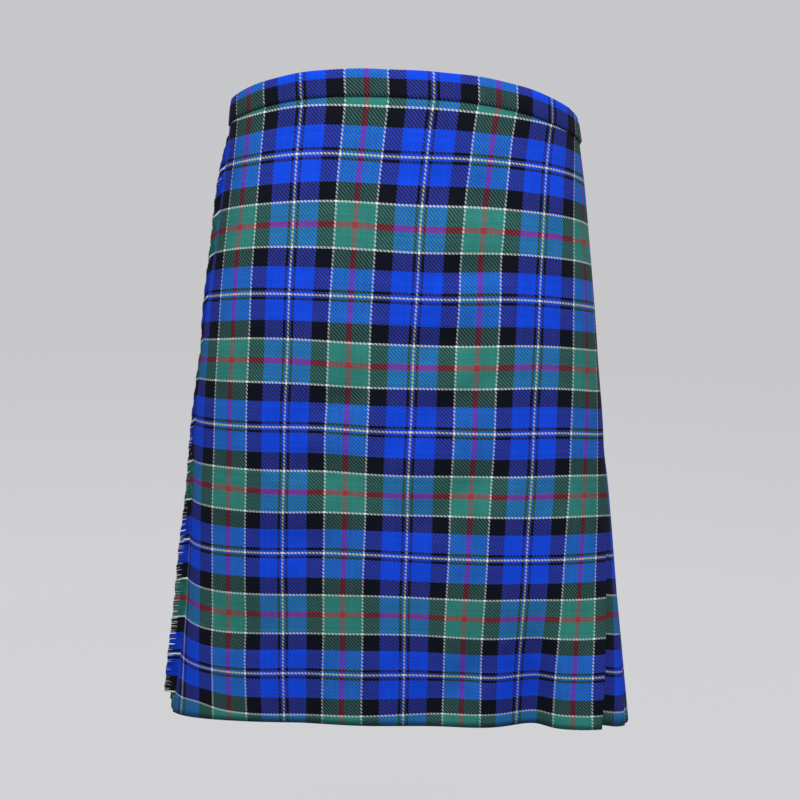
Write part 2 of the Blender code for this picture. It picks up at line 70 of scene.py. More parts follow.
# Body section at each drop: half widths, depths and how square each quarter is.
# Columns: drop, left_hip, right_hip, front, back, square_left, square_right, square_back.
SECTIONS = (
    (0.0, 166.0, 165.5, 105.0, 110.0, 2.10, 2.10, 2.20),
    (60.0, 175.0, 171.5, 106.5, 121.0, 2.20, 2.20, 2.20),
    (130.0, 182.5, 180.5, 107.5, 132.0, 2.40, 2.40, 2.25),
    (200.0, 189.3, 189.5, 107.5, 139.0, 2.65, 2.55, 2.30),
    (300.0, 198.5, 199.5, 107.5, 143.0, 2.80, 2.60, 2.30),
    (400.0, 207.5, 206.5, 107.5, 145.0, 3.00, 2.55, 2.30),
    (500.0, 216.3, 213.5, 107.5, 147.0, 3.60, 2.50, 2.30),
    (560.0, 221.2, 219.0, 107.5, 149.0, 4.40, 2.50, 2.30),
    (614.0, 226.0, 223.5, 107.5, 151.0, 5.00, 2.50, 2.30),
)

# Reach of the over-apron to each side of the middle of the front, along the cloth.
# Columns: drop, to_right_hip, to_left_hip, flare.
APRON = (
    (0.0, 213.0, 215.0, 0.0),
    (60.0, 208.0, 215.5, 0.0),
    (130.0, 202.0, 216.0, 0.0),
    (200.0, 210.0, 216.5, 0.0),
    (300.0, 219.0, 217.0, 0.0),
    (400.0, 219.0, 214.5, 1.0),
    (460.0, 219.5, 209.5, 3.5),
    (520.0, 221.0, 204.0, 7.0),
    (614.0, 236.0, 196.5, 11.5),
)
OVER_OUT = 4.9
OVER_OUT_EDGE = 7.2
UNDER_OUT = 0.7
DEEP_PLEAT = 35.0
UNDER_SHORT = 52.0

PLEATS = 24
PLEATS_LEFT = 12
PLEAT_COVER = 0.7
PLEAT_LOW = 0.7
PLEAT_RISE = 2.0 * STEP * (1.0 + PLEAT_COVER)
PLEAT_HIGH = PLEAT_LOW + PLEAT_RISE
PLEAT_OPEN = 1.4
EDGE_CLEAR = 4.0

# Soft folds that run down the front. Depth is toward the back.
# Columns: across, spread_right_hip, spread_left_hip, from_drop, to_drop, depth.
FOLDS = (
    (134.0, 28.0, 14.0, 470.0, 614.0, 15.0),
    (84.0, 34.0, 34.0, 330.0, 520.0, -3.5),
    (-118.0, 40.0, 40.0, 360.0, 614.0, 4.0),
    (-30.0, 46.0, 46.0, 380.0, 614.0, -3.5),
)
SWING_COUNT = 7.0
SWING = 2.6

# Fine upright creases all round, placed by their share of the way round. Depth is outward.
# Columns: round, spread, from_drop, to_drop, depth.
CREASES = (
    (0.035, 17.0, 210.0, 470.0, -0.8),
    (0.078, 14.0, 300.0, 600.0, 0.9),
    (0.118, 20.0, 150.0, 380.0, -0.7),
    (0.245, 24.0, 330.0, 614.0, 1.2),
    (0.372, 30.0, 260.0, 560.0, -1.3),
    (0.470, 26.0, 400.0, 614.0, 1.5),
    (0.561, 22.0, 240.0, 520.0, -1.1),
    (0.688, 28.0, 380.0, 614.0, 1.3),
    (0.795, 16.0, 300.0, 560.0, -0.9),
    (0.868, 21.0, 180.0, 430.0, 0.9),
    (0.925, 15.0, 420.0, 614.0, -0.8),
    (0.968, 19.0, 260.0, 520.0, 0.8),
)
# Soft sags, each a shallow trough lying across the cloth, placed from the middle of the front.
# Columns: along, drop, half_width, half_height, slant, depth.
SAGS = (
    (40.0, 104.0, 46.0, 22.0, 0.25, -4.8),
    (64.0, 178.0, 34.0, 18.0, -0.30, -4.4),
    (34.0, 252.0, 46.0, 20.0, -0.20, -4.4),
    (-56.0, 308.0, 32.0, 17.0, -0.30, -4.4),
    (50.0, 308.0, 40.0, 17.0, -0.60, -3.7),
    (-72.0, 372.0, 42.0, 18.0, 0.30, -2.6),
    (62.0, 386.0, 32.0, 18.0, -0.40, -4.1),
    (24.0, 417.0, 26.0, 17.0, 0.0, -3.3),
    (-88.0, 446.0, 38.0, 16.0, 0.10, -2.8),
    (62.0, 572.0, 26.0, 20.0, -0.80, -3.7),
    (-150.0, 520.0, 34.0, 20.0, 0.20, -2.6),
    (-262.0, 236.0, 40.0, 20.0, 0.30, -2.6),
    (282.0, 330.0, 44.0, 22.0, -0.25, -2.8),
    (-410.0, 410.0, 46.0, 22.0, -0.20, -2.8),
    (452.0, 204.0, 42.0, 20.0, 0.30, -2.4),
    (528.0, 470.0, 48.0, 24.0, 0.15, -3.0),
)

FRINGE_FROM = 34.0
FRINGE_TO = 594.0
FRINGE_LENGTH = 20.0
FRINGE_DROOP = 4.5
# How far the ends of the fringe lift off the cloth. Columns: drop, lift.
FRINGE_LIFTS = ((34.0, 4.8), (60.0, 6.2), (130.0, 4.2), (240.0, 1.2), (360.0, 2.6), (500.0, 7.4),
                (584.0, 6.4))
FRINGE_CLUMP = 5
FRINGE_YARN = 0.48
FRINGE_KNOTS = 7

STRAP_WIDTH = 19.0
STRAP_WALL = 1.8
TAB_WALL = 1.4
FRAME_LONG = 24.0
FRAME_HIGH = 28.0
FRAME_WIRE = 2.6
PRONG_WIDE = 2.2
PRONG_THICK = 1.4
BUCKLE_AT = 58.0
STRAP_TAIL = 52.0
TAB_LENGTH = 30.0
STRAP_START = 3.0
APRON_BUTT = 0.6

# ---------------------------------------------------------------- weave, in threads

# Half of the sett, from the middle of the red line to the middle of the cream line.
HALF_SETT = (("red", 2.75), ("green", 18.25), ("white", 2.0), ("black", 18.25), ("blue", 21.0),
             ("black", 2.75), ("blue", 2.0), ("cream", 1.0))
SETT = 68
THREADS_PER_MM = 1.153

# Warp number at five drops, at six places along the cloth from the middle of the front.
# Both tables come from a least-squares fit to where the sett's lines cross in the photo.
# Columns: drop, then one for each place.
WEAVE_PLACES = (-220.0, -132.0, -44.0, 44.0, 132.0, 220.0)
WARP = (
    (0.0, -72.0, 26.5, 123.0, 218.5, 319.5, 420.0),
    (150.0, -68.5, 33.5, 136.0, 236.0, 339.5, 440.5),
    (300.0, -67.5, 38.0, 141.5, 241.0, 344.5, 446.0),
    (450.0, -70.0, 39.0, 143.0, 245.0, 352.0, 459.5),
    (614.0, -70.0, 34.5, 142.0, 247.0, 361.0, 461.0),
)
# Weft number at the same drops and places.
WEFT = (
    (0.0, 2.0, -8.5, -12.5, -12.0, -7.0, 3.0),
    (150.0, 155.0, 147.5, 142.5, 142.5, 149.5, 157.5),
    (300.0, 318.5, 307.5, 302.0, 302.0, 308.5, 317.0),
    (450.0, 490.0, 475.0, 474.5, 473.0, 474.5, 481.0),
    (614.0, 676.5, 667.5, 668.5, 672.5, 674.0, 676.0),
)
PLEAT_WARP = 432.7
PLEAT_WARP_STEP = 34.0
# How far the pleats' weave lies off that of the over-apron's folded edge. Columns: drop, weft, warp.
PLEAT_SHIFTS = ((0.0, 0.0, -4.6), (400.0, 0.0, -4.6), (478.0, 2.0, -3.2), (520.0, 2.5, -0.9),
                (557.0, 3.7, 0.0), (580.0, 2.7, 0.0), (600.0, 0.7, 0.0), (614.0, -0.4, 0.0))
BAND_WEFT = -23.0

# How much of a crossing the warp covers where it lies on top, how much less a lofty warp covers,
# and how much of the warp shows where a lofty warp or weft crosses behind or in front of it.
WARP_COVER = 0.86
LOFTY_WARP_OPENS = 0.36
LOFTY_WARP_SHOWS = 0.06
LOFTY_WEFT_OPENS = 0.42
WARP_SHADE = 0.88
BLACK_SHADE = 0.62
# Grey added where a dyed yarn crosses black: lint, and painted sheen on the floats.
BLACK_LINT_AND_SHEEN = (0.020, 0.010, 0.013, 1.0)
BLACK_BELOW = 0.125

# Distance between the copies of a small shape before each is set in its place.
COPY_APART = 4.0

# ---------------------------------------------------------------- studio, in metres

PAPER_GLOW = 0.86
PAPER_SHADE = 0.20
FLOOR_REACH = 2.7
CORNER_RADIUS = 0.8
CORNER_STEPS = 8
WALL_TOP = 1.5
# Broad lights: name, direction toward it, strength, and how wide it is in degrees.
SUNS = (
    ("front_light", (0.05, -1.0, 1.5), 1.95, 30.0),
    ("back_light", (0.35, 1.0, 1.0), 2.3, 60.0),
    ("left_light", (-1.0, -0.45, 0.9), 0.45, 60.0),
    ("right_light", (1.0, -0.45, 0.8), 0.65, 60.0),
)
SOFT_BOX_AT = (-0.08, -0.95, 0.42)
SOFT_BOX_AIM = (0.0, -0.1, -0.12)
CAMERA_AT = (0.0, -1.32, -0.231)
CAMERA_TILT = 3.5
CAMERA_ROLL = 1.0


def lerp(a, b, t):
    """Value between a and b."""
    return a + (b - a) * t


def smooth(a, b, value):
    """Soft step from 0 at a to 1 at b."""
    t = min(1.0, max(0.0, (value - a) / (b - a)))
    return t * t * (3.0 - 2.0 * t)


def read_table(table, drop):
    """Row of a table at a drop, through a smooth curve over its rows."""
    last = len(table) - 1
    i = 0
    while i < last - 1 and drop > table[i + 1][0]:
        i += 1
    x0, x1 = table[i][0], table[i + 1][0]
    t = min(1.0, max(0.0, (drop - x0) / (x1 - x0)))
    values = []
    for column in range(1, len(table[0])):
        y0, y1 = table[i][column], table[i + 1][column]
        before = table[max(i - 1, 0)]
        after = table[min(i + 2, last)]
        slope0 = (y1 - before[column]) / (x1 - before[0])
        slope1 = (after[column] - y0) / (after[0] - x0)
        h = x1 - x0
        t2, t3 = t * t, t * t * t
        values.append((2 * t3 - 3 * t2 + 1) * y0 + (t3 - 2 * t2 + t) * h * slope0
                      + (3 * t2 - 2 * t3) * y1 + (t3 - t2) * h * slope1)
    return values


def through(places, values, at):
    """Value at a place on the even curve that passes through every given value."""
    total = 0.0
    for i, value in enumerate(values):
        weight = 1.0
        for j, place_j in enumerate(places):
            if j != i:
                weight *= (at - place_j) / (places[i] - place_j)
        total += weight * value
    return total


def thread_number(table, drop, along):
    """Warp or weft number of the cloth at a drop and a distance from the middle of the front."""
    drops = [row[0] for row in table]
    across = [through(drops, [row[k + 1] for row in table], drop) for k in range(len(WEAVE_PLACES))]
    return through(WEAVE_PLACES, across, along)


def wobble(drop, along):
    """Small wandering of the yarns, in threads."""
    return (0.45 * math.sin(0.061 * along + 0.017 * drop + 0.6)
            + 0.35 * math.sin(0.023 * along - 0.052 * drop + 2.1))


class Ring:
    """Closed body line at one drop, measured along its length from the middle of the front."""

    STEPS = 720

    def __init__(self, drop):
        left, right, front, back, sq_left, sq_right, sq_back = read_table(SECTIONS, drop)
        self.half = 0.5 * (left + right)
        self.front = front
        self.points = []
        self.run = [0.0]
        for i in range(self.STEPS + 1):
            angle = -0.5 * math.pi + 2.0 * math.pi * i / self.STEPS
            c, s = math.cos(angle), math.sin(angle)
            wide = left if c > 0.0 else right
            deep = back if s > 0.0 else front
            if s > 0.0:
                power = sq_back
            else:
                power = sq_left if c > 0.0 else sq_right
            reach = ((abs(c) / wide) ** power + (abs(s) / deep) ** power) ** (-1.0 / power)
            self.points.append((reach * c, reach * s))
        for a, b in zip(self.points, self.points[1:]):
            self.run.append(self.run[-1] + math.hypot(b[0] - a[0], b[1] - a[1]))
        self.length = self.run[-1]

    def at(self, along):
        """Point on the line and the outward direction there."""
        along = along % self.length
        low, high = 0, self.STEPS
        while high - low > 1:
            mid = (low + high) // 2
            if self.run[mid] <= along:
                low = mid
            else:
                high = mid
        t = (along - self.run[low]) / (self.run[high] - self.run[low])
        a, b = self.points[low], self.points[high]
        before = self.points[(low - 3) % self.STEPS]
        after = self.points[(high + 3) % self.STEPS]
        tx, ty = after[0] - before[0], after[1] - before[1]
        size = math.hypot(tx, ty)
        return lerp(a[0], b[0], t), lerp(a[1], b[1], t), ty / size, -tx / size


RINGS = {}


def ring(drop):
    """Ring at a drop, made once."""
    key = round(drop, 4)
    if key not in RINGS:
        RINGS[key] = Ring(drop)
    return RINGS[key]


def top_height(drop, x, y):
    """Height of the upper edge of the band over a point of the body line."""
    share = min(1.0, abs(x) / ring(drop).half)
    if y < 0.0:
        dip = WAIST_DIP * share ** WAIST_DIP_POWER
    else:
        dip = WAIST_DIP - BACK_RISE * (1.0 - share ** 2)
    return -WAIST_TILT * x - dip


def hem_height(x, y):
    """Height of the hem under a point of the body line."""
    front_edge = smooth(-60.0, -140.0, x) * smooth(15.0, -35.0, y)
    return (-LENGTH - HEM_SIDE_DROP * smooth(-114.0, -30.0, y) - HEM_EDGE_DROP * front_edge
            - HEM_CORNER_DROP * smooth(194.0, 216.0, x))


def fold_shift(x, y, drop):
    """How far the soft folds of the front move the cloth toward the back."""
    shift = 0.0
    for across, right_spread, left_spread, start, end, depth in FOLDS:
        ramp = smooth(start, end, drop)
        spread = left_spread if x > across else right_spread
        shift += depth * ramp * math.exp(-((x - across) / spread) ** 2)
    return shift * smooth(-35.0, -85.0, y)


def crease(drop, along, length):
    """Reach of the fine creases, which all layers share."""
    reach = 0.0
    for middle, spread, start, end, depth in CREASES:
        apart = (along - middle * length + 0.5 * length) % length - 0.5 * length
        if abs(apart) < 3.0 * spread:
            tall = smooth(start, start + 0.45 * (end - start), drop)
            if end < LENGTH:
                tall *= smooth(end, end - 0.3 * (end - start), drop)
            reach += depth * tall * math.exp(-(apart / spread) ** 2)
    for middle, level, half_width, half_height, slant, depth in SAGS:
        apart = (along - middle + 0.5 * length) % length - 0.5 * length
        if abs(apart) < 2.6 * half_width:
            below = drop - level - slant * apart
            reach += depth * math.exp(-(apart / half_width) ** 2 - (below / half_height) ** 2)
    return reach


def place(drop, along, out, height=None, flare=0.0):
    """Point of the cloth: how far down, how far along, how far out from the body line."""
    line = ring(drop)
    x, y, nx, ny = line.at(along)
    top = top_height(drop, x, y)
    if height is None:
        cloth_top = top - BAND_WALL - GAP
        z = lerp(cloth_top, hem_height(x, y), drop / LENGTH)
        out += crease(drop, along % line.length, line.length)
    else:
        z = top + height
    swing = SWING * smooth(260.0, LENGTH, drop) * smooth(-40.0, 40.0, y)
    out += swing * math.sin(SWING_COUNT * 2.0 * math.pi * along / line.length)
    px, py = x + nx * out, y + ny * out
    py += fold_shift(px, py, drop) - flare
    return Vector((px, py, z))


@lru_cache(maxsize=None)
def apron_reach(drop):
    """Reach of the over-apron to the right hip and to the left hip, and its flare."""
    return read_table(APRON, drop)


def apron_along(drop, share):
    """Place along the body line at a share of the over-apron's width."""
    right, left, _ = apron_reach(drop)
    return lerp(-right, left, share)


def apron_out(drop, share):
    """How far the over-apron stands off the body line."""
    right, left, _ = apron_reach(drop)
    from_edge = share * (right + left)
    to_fold = (1.0 - share) * (right + left)
    edge = OVER_OUT_EDGE - OVER_OUT
    fold = PLEAT_HIGH - OVER_OUT
    return OVER_OUT + edge * smooth(90.0, 12.0, from_edge) + fold * smooth(90.0, DEEP_PLEAT + 6.0, to_fold)


def apron_flare(drop, to_fold):
    """How far the lower corner of the over-apron swings forward near its folded edge."""
    return max(0.0, apron_reach(drop)[2]) * smooth(75.0, 4.0, to_fold)


def pleat_line(drop, count):
    """Place along the body line of the visible start of a pleat."""
    right, left, _ = apron_reach(drop)
    end = ring(drop).length - right - EDGE_CLEAR
    return lerp(left, end, count / PLEATS)


@lru_cache(maxsize=None)
def pleat_width(drop):
    """Visible width of one pleat."""
    return pleat_line(drop, 1) - pleat_line(drop, 0)


def under_along(drop, share):
    """Place along the body line at a share of the under-apron's width."""
    right, left, _ = apron_reach(drop)
    length = ring(drop).length
    start = length - right - EDGE_CLEAR
    return lerp(start, length + left - UNDER_SHORT, share)


def pleat_out(drop, count, out):
    """Reach of a layer of the pleats, which open toward the hem and most of all at the back."""
    middle = math.sin(math.pi * min(1.0, max(0.0, count / PLEATS))) ** 0.6
    return PLEAT_LOW + (out - PLEAT_LOW) * (1.0 + PLEAT_OPEN * middle * smooth(190.0, LENGTH, drop))


def uneven(number):
    """Steady value from -1 to 1 that differs from one number to the next."""
    return math.sin(number * 12.9898 + 4.1) * 0.6 + math.sin(number * 7.233 + 1.3) * 0.4


# ---------------------------------------------------------------- settings shown in the sidebar

def tint(name, description, color):
    """Colour setting of the sidebar."""
    return FloatVectorProperty(name=name, description=description, subtype="COLOR", size=3,
                               min=0.0, max=1.0, default=color)


class KiltWeave(bpy.types.PropertyGroup):
    """Cloth and yarn of the kilt."""

    cloth_thickness: FloatProperty(
        name="Cloth Thickness", description="Thickness of the wool twill", default=0.0009,
        min=0.0004, max=0.001, subtype="DISTANCE", unit="LENGTH")
    columns: IntProperty(
        name="Columns", description="Divisions across the over-apron", default=156, min=40, max=260)
    rows: IntProperty(
        name="Rows", description="Divisions down the cloth", default=96, min=30, max=160)
    blue: tint("Blue Yarn", "Colour of the blue wool", (0.003, 0.052, 0.620))
    green: tint("Green Yarn", "Colour of the green wool", (0.024, 0.185, 0.160))
    black: tint("Black Yarn", "Colour of the black wool", (0.003, 0.005, 0.013))
    red: tint("Red Yarn", "Colour of the red wool", (0.300, 0.028, 0.042))
    white: tint("White Yarn", "Colour of the white wool", (0.800, 0.900, 0.860))
    cream: tint("Cream Yarn", "Colour of the cream wool", (0.820, 0.850, 0.640))


class KiltTrim(bpy.types.PropertyGroup):
    """Fringe, straps and buckles of the kilt."""

    fringe_threads: IntProperty(
        name="Fringe Threads", description="Loose weft threads along the free edge", default=1000,
        min=200, max=1200)
    leather: tint("Leather", "Colour of the straps", (0.018, 0.015, 0.013))
    metal: tint("Buckle Metal", "Colour of the buckles", (0.72, 0.72, 0.70))


class KiltStudio(bpy.types.PropertyGroup):
    """Backdrop, light and camera."""

    floor_drop: FloatProperty(
        name="Floor", description="Height of the floor under the waist", default=-1.13,
        subtype="DISTANCE", unit="LENGTH")
    backdrop: tint("Backdrop", "Colour of the floor and walls", (0.571, 0.571, 0.591))
    lens: FloatProperty(
        name="Lens", description="Focal length in millimetres", default=58.275, min=20.0, max=200.0)


# ---------------------------------------------------------------- shader sums

class Wire:
    """Output of a node that can be used in sums, so that a finish reads as its formula."""

    def __init__(self, board, socket):
        self.board = board
        self.socket = socket

    def __add__(self, other):
        return self.board.math("ADD", self, other)

    def __radd__(self, other):
        return self.board.math("ADD", other, self)

    def __sub__(self, other):
        return self.board.math("SUBTRACT", self, other)

    def __rsub__(self, other):
        return self.board.math("SUBTRACT", other, self)

    def __mul__(self, other):
        return self.board.math("MULTIPLY", self, other)

    def __rmul__(self, other):
        return self.board.math("MULTIPLY", other, self)

    def __truediv__(self, other):
        return self.board.math("DIVIDE", self, other)

    def __lt__(self, other):
        return self.board.math("LESS_THAN", self, other)


class Finish:
    """Material under construction: its nodes, its sums and its shader."""

    def __init__(self, name, **fixed):
        self.material = bpy.data.materials.new(name)
        self.material.use_nodes = True
        self.tree = self.material.node_tree
        self.shader = self.tree.nodes["Principled BSDF"]
        for socket, value in fixed.items():
            self.shader.inputs[socket.replace("_", " ")].default_value = value

    def node(self, kind, settings=None, sockets=None, out=0):
        """Add a node: its settings first, then the values and links of its sockets."""
        made = self.tree.nodes.new(kind)
        for key, value in (settings or {}).items():
            setattr(made, key, value)
        for key, value in (sockets or {}).items():
            self.join(value, made.inputs[key])
        return Wire(self, made.outputs[out])

    def join(self, value, socket):
        """Link a wire to a socket, or set its value."""
        if isinstance(value, Wire):
            self.tree.links.new(value.socket, socket)
        else:
            socket.default_value = value

    def math(self, operation, *values):
        """Sum of numbers."""
        return self.node("ShaderNodeMath", {"operation": operation}, dict(enumerate(values)))

    def mix(self, factor, a, b, blend="MIX"):
        """Blend of two colours."""
        return self.node("ShaderNodeMix", {"data_type": "RGBA", "blend_type": blend},
                         {0: factor, 6: a, 7: b}, out=2)

    def ramp(self, value, stops, interpolation="CONSTANT"):
        """Colour read from a row of stops."""
        made = self.tree.nodes.new("ShaderNodeValToRGB")
        band = made.color_ramp
        band.interpolation = interpolation
        while len(band.elements) < len(stops):
            band.elements.new(1.0)
        for element, (position, color) in zip(band.elements, stops):
            element.position = position
            element.color = color
        self.join(value, made.inputs[0])
        return Wire(self, made.outputs[0])

    def spot(self):
        """Place on the object, in metres."""
        return self.node("ShaderNodeTexCoord", out=3)

    def noise(self, vector, scale, detail=2.0, roughness=0.5):
        """Soft noise from 0 to 1."""
        return self.node("ShaderNodeTexNoise", None,
                         {"Vector": vector, "Scale": scale, "Detail": detail, "Roughness": roughness})

    def paint(self, color, rough, height=None, strength=0.5, distance=0.001):
        """Link what varies to the shader."""
        self.join(color, self.shader.inputs["Base Color"])
        self.join(rough, self.shader.inputs["Roughness"])
        if height is not None:
            bump = self.node("ShaderNodeBump", None,
                             {"Strength": strength, "Distance": distance, "Height": height})
            self.join(bump, self.shader.inputs["Normal"])
        return self.material


def rgba(color, shade=1.0):
    """Colour with full cover."""
    return (color[0] * shade, color[1] * shade, color[2] * shade, 1.0)


def sett_stops(weave):
    """Stops of the half sett, from its red middle to its cream middle."""
    stops, at = [], 0
    for yarn, count in HALF_SETT:
        stops.append((at / SETT, rgba(getattr(weave, yarn))))
        at += count
    return stops


def yarn_color(finish, number, weave):
    """Colour of the yarn with a given number, with the yarns a little unlike one another."""
    turn = finish.math("PINGPONG", number, float(SETT)) / float(SETT)
    dyed = finish.ramp(turn, sett_stops(weave))
    chance = finish.node("ShaderNodeTexWhiteNoise", {"noise_dimensions": "1D"}, {"W": number})
    slub = finish.node("ShaderNodeTexNoise", {"noise_dimensions": "1D"}, {"W": number, "Scale": 0.31})
    return shaded(finish, dyed, 0.72 + chance * 0.20 + slub * 0.28)


def brightness(finish, color):
    """Largest channel of a colour and its red channel."""
    parts = finish.tree.nodes.new("ShaderNodeSeparateColor")
    finish.join(color, parts.inputs[0])
    red, green, blue = (Wire(finish, socket) for socket in parts.outputs)
    return finish.math("MAXIMUM", finish.math("MAXIMUM", red, green), blue), red


def weave_map(finish):
    """Warp and weft numbers of the piece's own map."""
    split = finish.tree.nodes.new("ShaderNodeSeparateXYZ")
    finish.join(finish.node("ShaderNodeUVMap", {"uv_map": "Weave"}), split.inputs[0])
    return Wire(finish, split.outputs[0]), Wire(finish, split.outputs[1])


def shaded(finish, color, shade):
    """Colour made darker or lighter by a wire or a number."""
    grey = finish.node("ShaderNodeCombineColor", None, {0: shade, 1: shade, 2: shade})
    return finish.mix(1.0, color, grey, "MULTIPLY")


def tartan(name, weave):
    """Wool twill: warp and weft change over every two threads, which makes fine diagonals."""
    finish = Finish(name, Specular_IOR_Level=0.08)
    across, down = weave_map(finish)
    warp = finish.math("FLOOR", across) + 0.5
    weft = finish.math("FLOOR", down) + 0.5
    warp_on_top = finish.math("FLOORED_MODULO", warp - weft, 4.0) < 1.5
    warp_color = shaded(finish, yarn_color(finish, warp, weave), WARP_SHADE)
    weft_color = yarn_color(finish, weft, weave)
    # White, cream and red yarns are lofty and open, so the yarns they cross show through them.
    warp_light, warp_red = brightness(finish, warp_color)
    weft_light, weft_red = brightness(finish, weft_color)
    cover = (warp_on_top * (WARP_COVER - LOFTY_WARP_OPENS * warp_red)
             + (1.0 - warp_on_top) * (LOFTY_WARP_SHOWS * warp_red + LOFTY_WEFT_OPENS * weft_red))
    color = finish.mix(cover, weft_color, warp_color)
    # A dyed yarn that crosses black lies in its shade.
    warp_light = finish.math("MINIMUM", warp_light / BLACK_BELOW, 1.0)
    weft_light = finish.math("MINIMUM", weft_light / BLACK_BELOW, 1.0)
    both = warp_light * weft_light
    open_light = finish.math("MAXIMUM", both, finish.math("MAXIMUM", warp_red, weft_red))
    unlike = finish.math("ABSOLUTE", warp_red - weft_red)
    # Where a dyed yarn crosses black, a little grey is added: lint, and painted sheen on its floats.
    half_black = finish.math("ABSOLUTE", warp_light - weft_light) * (1.0 - open_light)
    color = finish.mix(half_black, color, BLACK_LINT_AND_SHEEN, "ADD")
    # Across a float the yarn is round, so its edges lie deeper and are painted darker in shade.
    side = finish.math("ABSOLUTE", (across - warp) * 2.0)
    rise = finish.math("ABSOLUTE", (down - weft) * 2.0)
    lower = side * warp_on_top + rise * (1.0 - warp_on_top)
    round_yarn = 1.0 - lower * lower
    place_at = finish.spot()
    fuzz = finish.noise(place_at, 2600.0, 3.0, 0.65)
    # Broad noise: mottling of the wool, and painted light and shade of soft folds.
    mottle_and_fold_shade = finish.noise(place_at, 46.0, 4.0, 0.6)
    shade = (0.70 + round_yarn * 0.30 + fuzz * 0.20 + mottle_and_fold_shade * 0.44 - 0.32) * (
        BLACK_SHADE + open_light * (1.0 - BLACK_SHADE)) * (1.0 - 0.35 * unlike)
    rough = 0.84 + fuzz * 0.14
    height = round_yarn * 0.7 + fuzz * 0.3
    return finish.paint(shaded(finish, color, shade), rough, height, 0.35, 0.00028)


def loose_yarn(name, weave):
    """Unwoven weft: one colour along each thread, with its twist."""
    finish = Finish(name, Specular_IOR_Level=0.10)
    run, number = weave_map(finish)
    color = yarn_color(finish, finish.math("FLOOR", number) + 0.5, weave)
    twist = 0.5 + 0.5 * finish.math("SINE", run * 3.2 + number * 9.0)
    place_at = finish.spot()
    fuzz = finish.noise(place_at, 2400.0, 3.0, 0.65)
    # The grooves of each thread's twist are painted in shade.
    color = shaded(finish, color, 0.70 + twist * 0.26 + fuzz * 0.26)
    return finish.paint(color, 0.84 + fuzz * 0.12, twist * 0.5 + fuzz * 0.5, 0.4, 0.0002)


def leather(name, color):
    """Black bridle leather with grain, rubbed a little on its raised places."""
    finish = Finish(name, Specular_IOR_Level=0.5)
    place_at = finish.spot()
    pores = finish.node("ShaderNodeTexVoronoi", {"feature": "DISTANCE_TO_EDGE"},
                        {"Vector": place_at, "Scale": 1100.0})
    wear = finish.noise(place_at, 120.0, 4.0, 0.6)
    dust = finish.ramp(wear, ((0.45, rgba(color)), (0.8, rgba(color, 2.4))), "LINEAR")
    rough = 0.38 + wear * 0.22
    grain = finish.math("MINIMUM", pores * 6.0, 1.0)
    return finish.paint(dust, rough, grain * 0.7 + wear * 0.3, 0.25, 0.00025)


def plated(name, color):
    """Plated buckle metal, polished and finely scratched."""
    finish = Finish(name, Metallic=1.0)
    place_at = finish.spot()
    long_way = finish.node("ShaderNodeMapping", None, {"Vector": place_at, "Scale": (3.0, 3.0, 60.0)})
    scratch = finish.noise(long_way, 160.0, 5.0, 0.7)
    tarnish = finish.noise(place_at, 90.0, 3.0)
    plate = finish.ramp(tarnish, ((0.35, rgba(color)), (0.8, rgba(color, 0.72))), "LINEAR")
    return finish.paint(plate, 0.14 + scratch * 0.16 + tarnish * 0.06, scratch, 0.08, 0.0001)


def sewing(name, color):
    """Waxed sewing thread."""
    finish = Finish(name, Specular_IOR_Level=0.35)
    place_at = finish.spot()
    ply = finish.node("ShaderNodeTexWave", {"bands_direction": "DIAGONAL"},
                      {"Vector": place_at, "Scale": 700.0, "Distortion": 0.6})
    # The ply's grooves are painted in shade and its crowns with a painted highlight.
    thread = finish.ramp(ply, ((0.0, rgba(color, 0.6)), (1.0, rgba(color, 1.3))), "LINEAR")
    return finish.paint(thread, 0.55 + ply * 0.15, ply, 0.4, 0.0001)


def studio_paper(name, color):
    """Plain matt backdrop, lit evenly from behind its own paper."""
    finish = Finish(name, Specular_IOR_Level=0.0, Emission_Strength=1.0)
    place_at = finish.spot()
    tooth = finish.noise(place_at, 240.0, 3.0)
    paper = finish.ramp(tooth, ((0.3, rgba(color, 0.995)), (0.7, rgba(color, 1.005))), "LINEAR")
    finish.join(shaded(finish, paper, PAPER_GLOW), finish.shader.inputs["Emission Color"])
    return finish.paint(shaded(finish, paper, PAPER_SHADE), 0.9 + tooth * 0.08)


MATERIALS = {}


def finish_named(name):
    """Finish of one kind, made once."""
    scene = bpy.context.scene
    weave, trim, studio = scene.kilt_weave, scene.kilt_trim, scene.kilt_studio
    makers = {
        "kilt_twill": lambda n: tartan(n, weave),
        "kilt_band_twill": lambda n: tartan(n, weave),
        "kilt_fringe_yarn": lambda n: loose_yarn(n, weave),
        "kilt_strap_leather": lambda n: leather(n, trim.leather),
        "kilt_buckle_plate": lambda n: plated(n, trim.metal),
        "kilt_blind_stitch": lambda n: sewing(n, (0.010, 0.016, 0.050)),
        "kilt_saddle_stitch": lambda n: sewing(n, (0.055, 0.050, 0.044)),
        "studio_paper": lambda n: studio_paper(n, studio.backdrop),
    }
    if name not in MATERIALS:
        MATERIALS[name] = makers[name](name)
    return MATERIALS[name]


# ---------------------------------------------------------------- making pieces

# The pleats and the under-apron need fewer divisions down than the over-apron does.
FEWER_ROWS = 0.62


def link(name, data):
    """Object of the scene for a mesh, a light or a camera."""
    made = bpy.data.objects.new(name, data)
    bpy.context.scene.collection.objects.link(made)
    return made


def settle(work, name, finish, unit=MM):
    """Turn a bmesh into an object of the scene, in metres."""
    bmesh.ops.scale(work, vec=(unit, unit, unit), verts=work.verts)
    mesh = bpy.data.meshes.new(name)
    for face in work.faces:
        face.smooth = True
    work.to_mesh(mesh)
    work.free()
    mesh.materials.append(finish_named(finish))
    return link(name, mesh)


def dress(piece, slot, *nodes):
    """Give a piece its body and hide the nodes that it stands for; the slot is not used."""
    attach(piece, "root")
    if nodes:
        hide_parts(*nodes)
    return piece


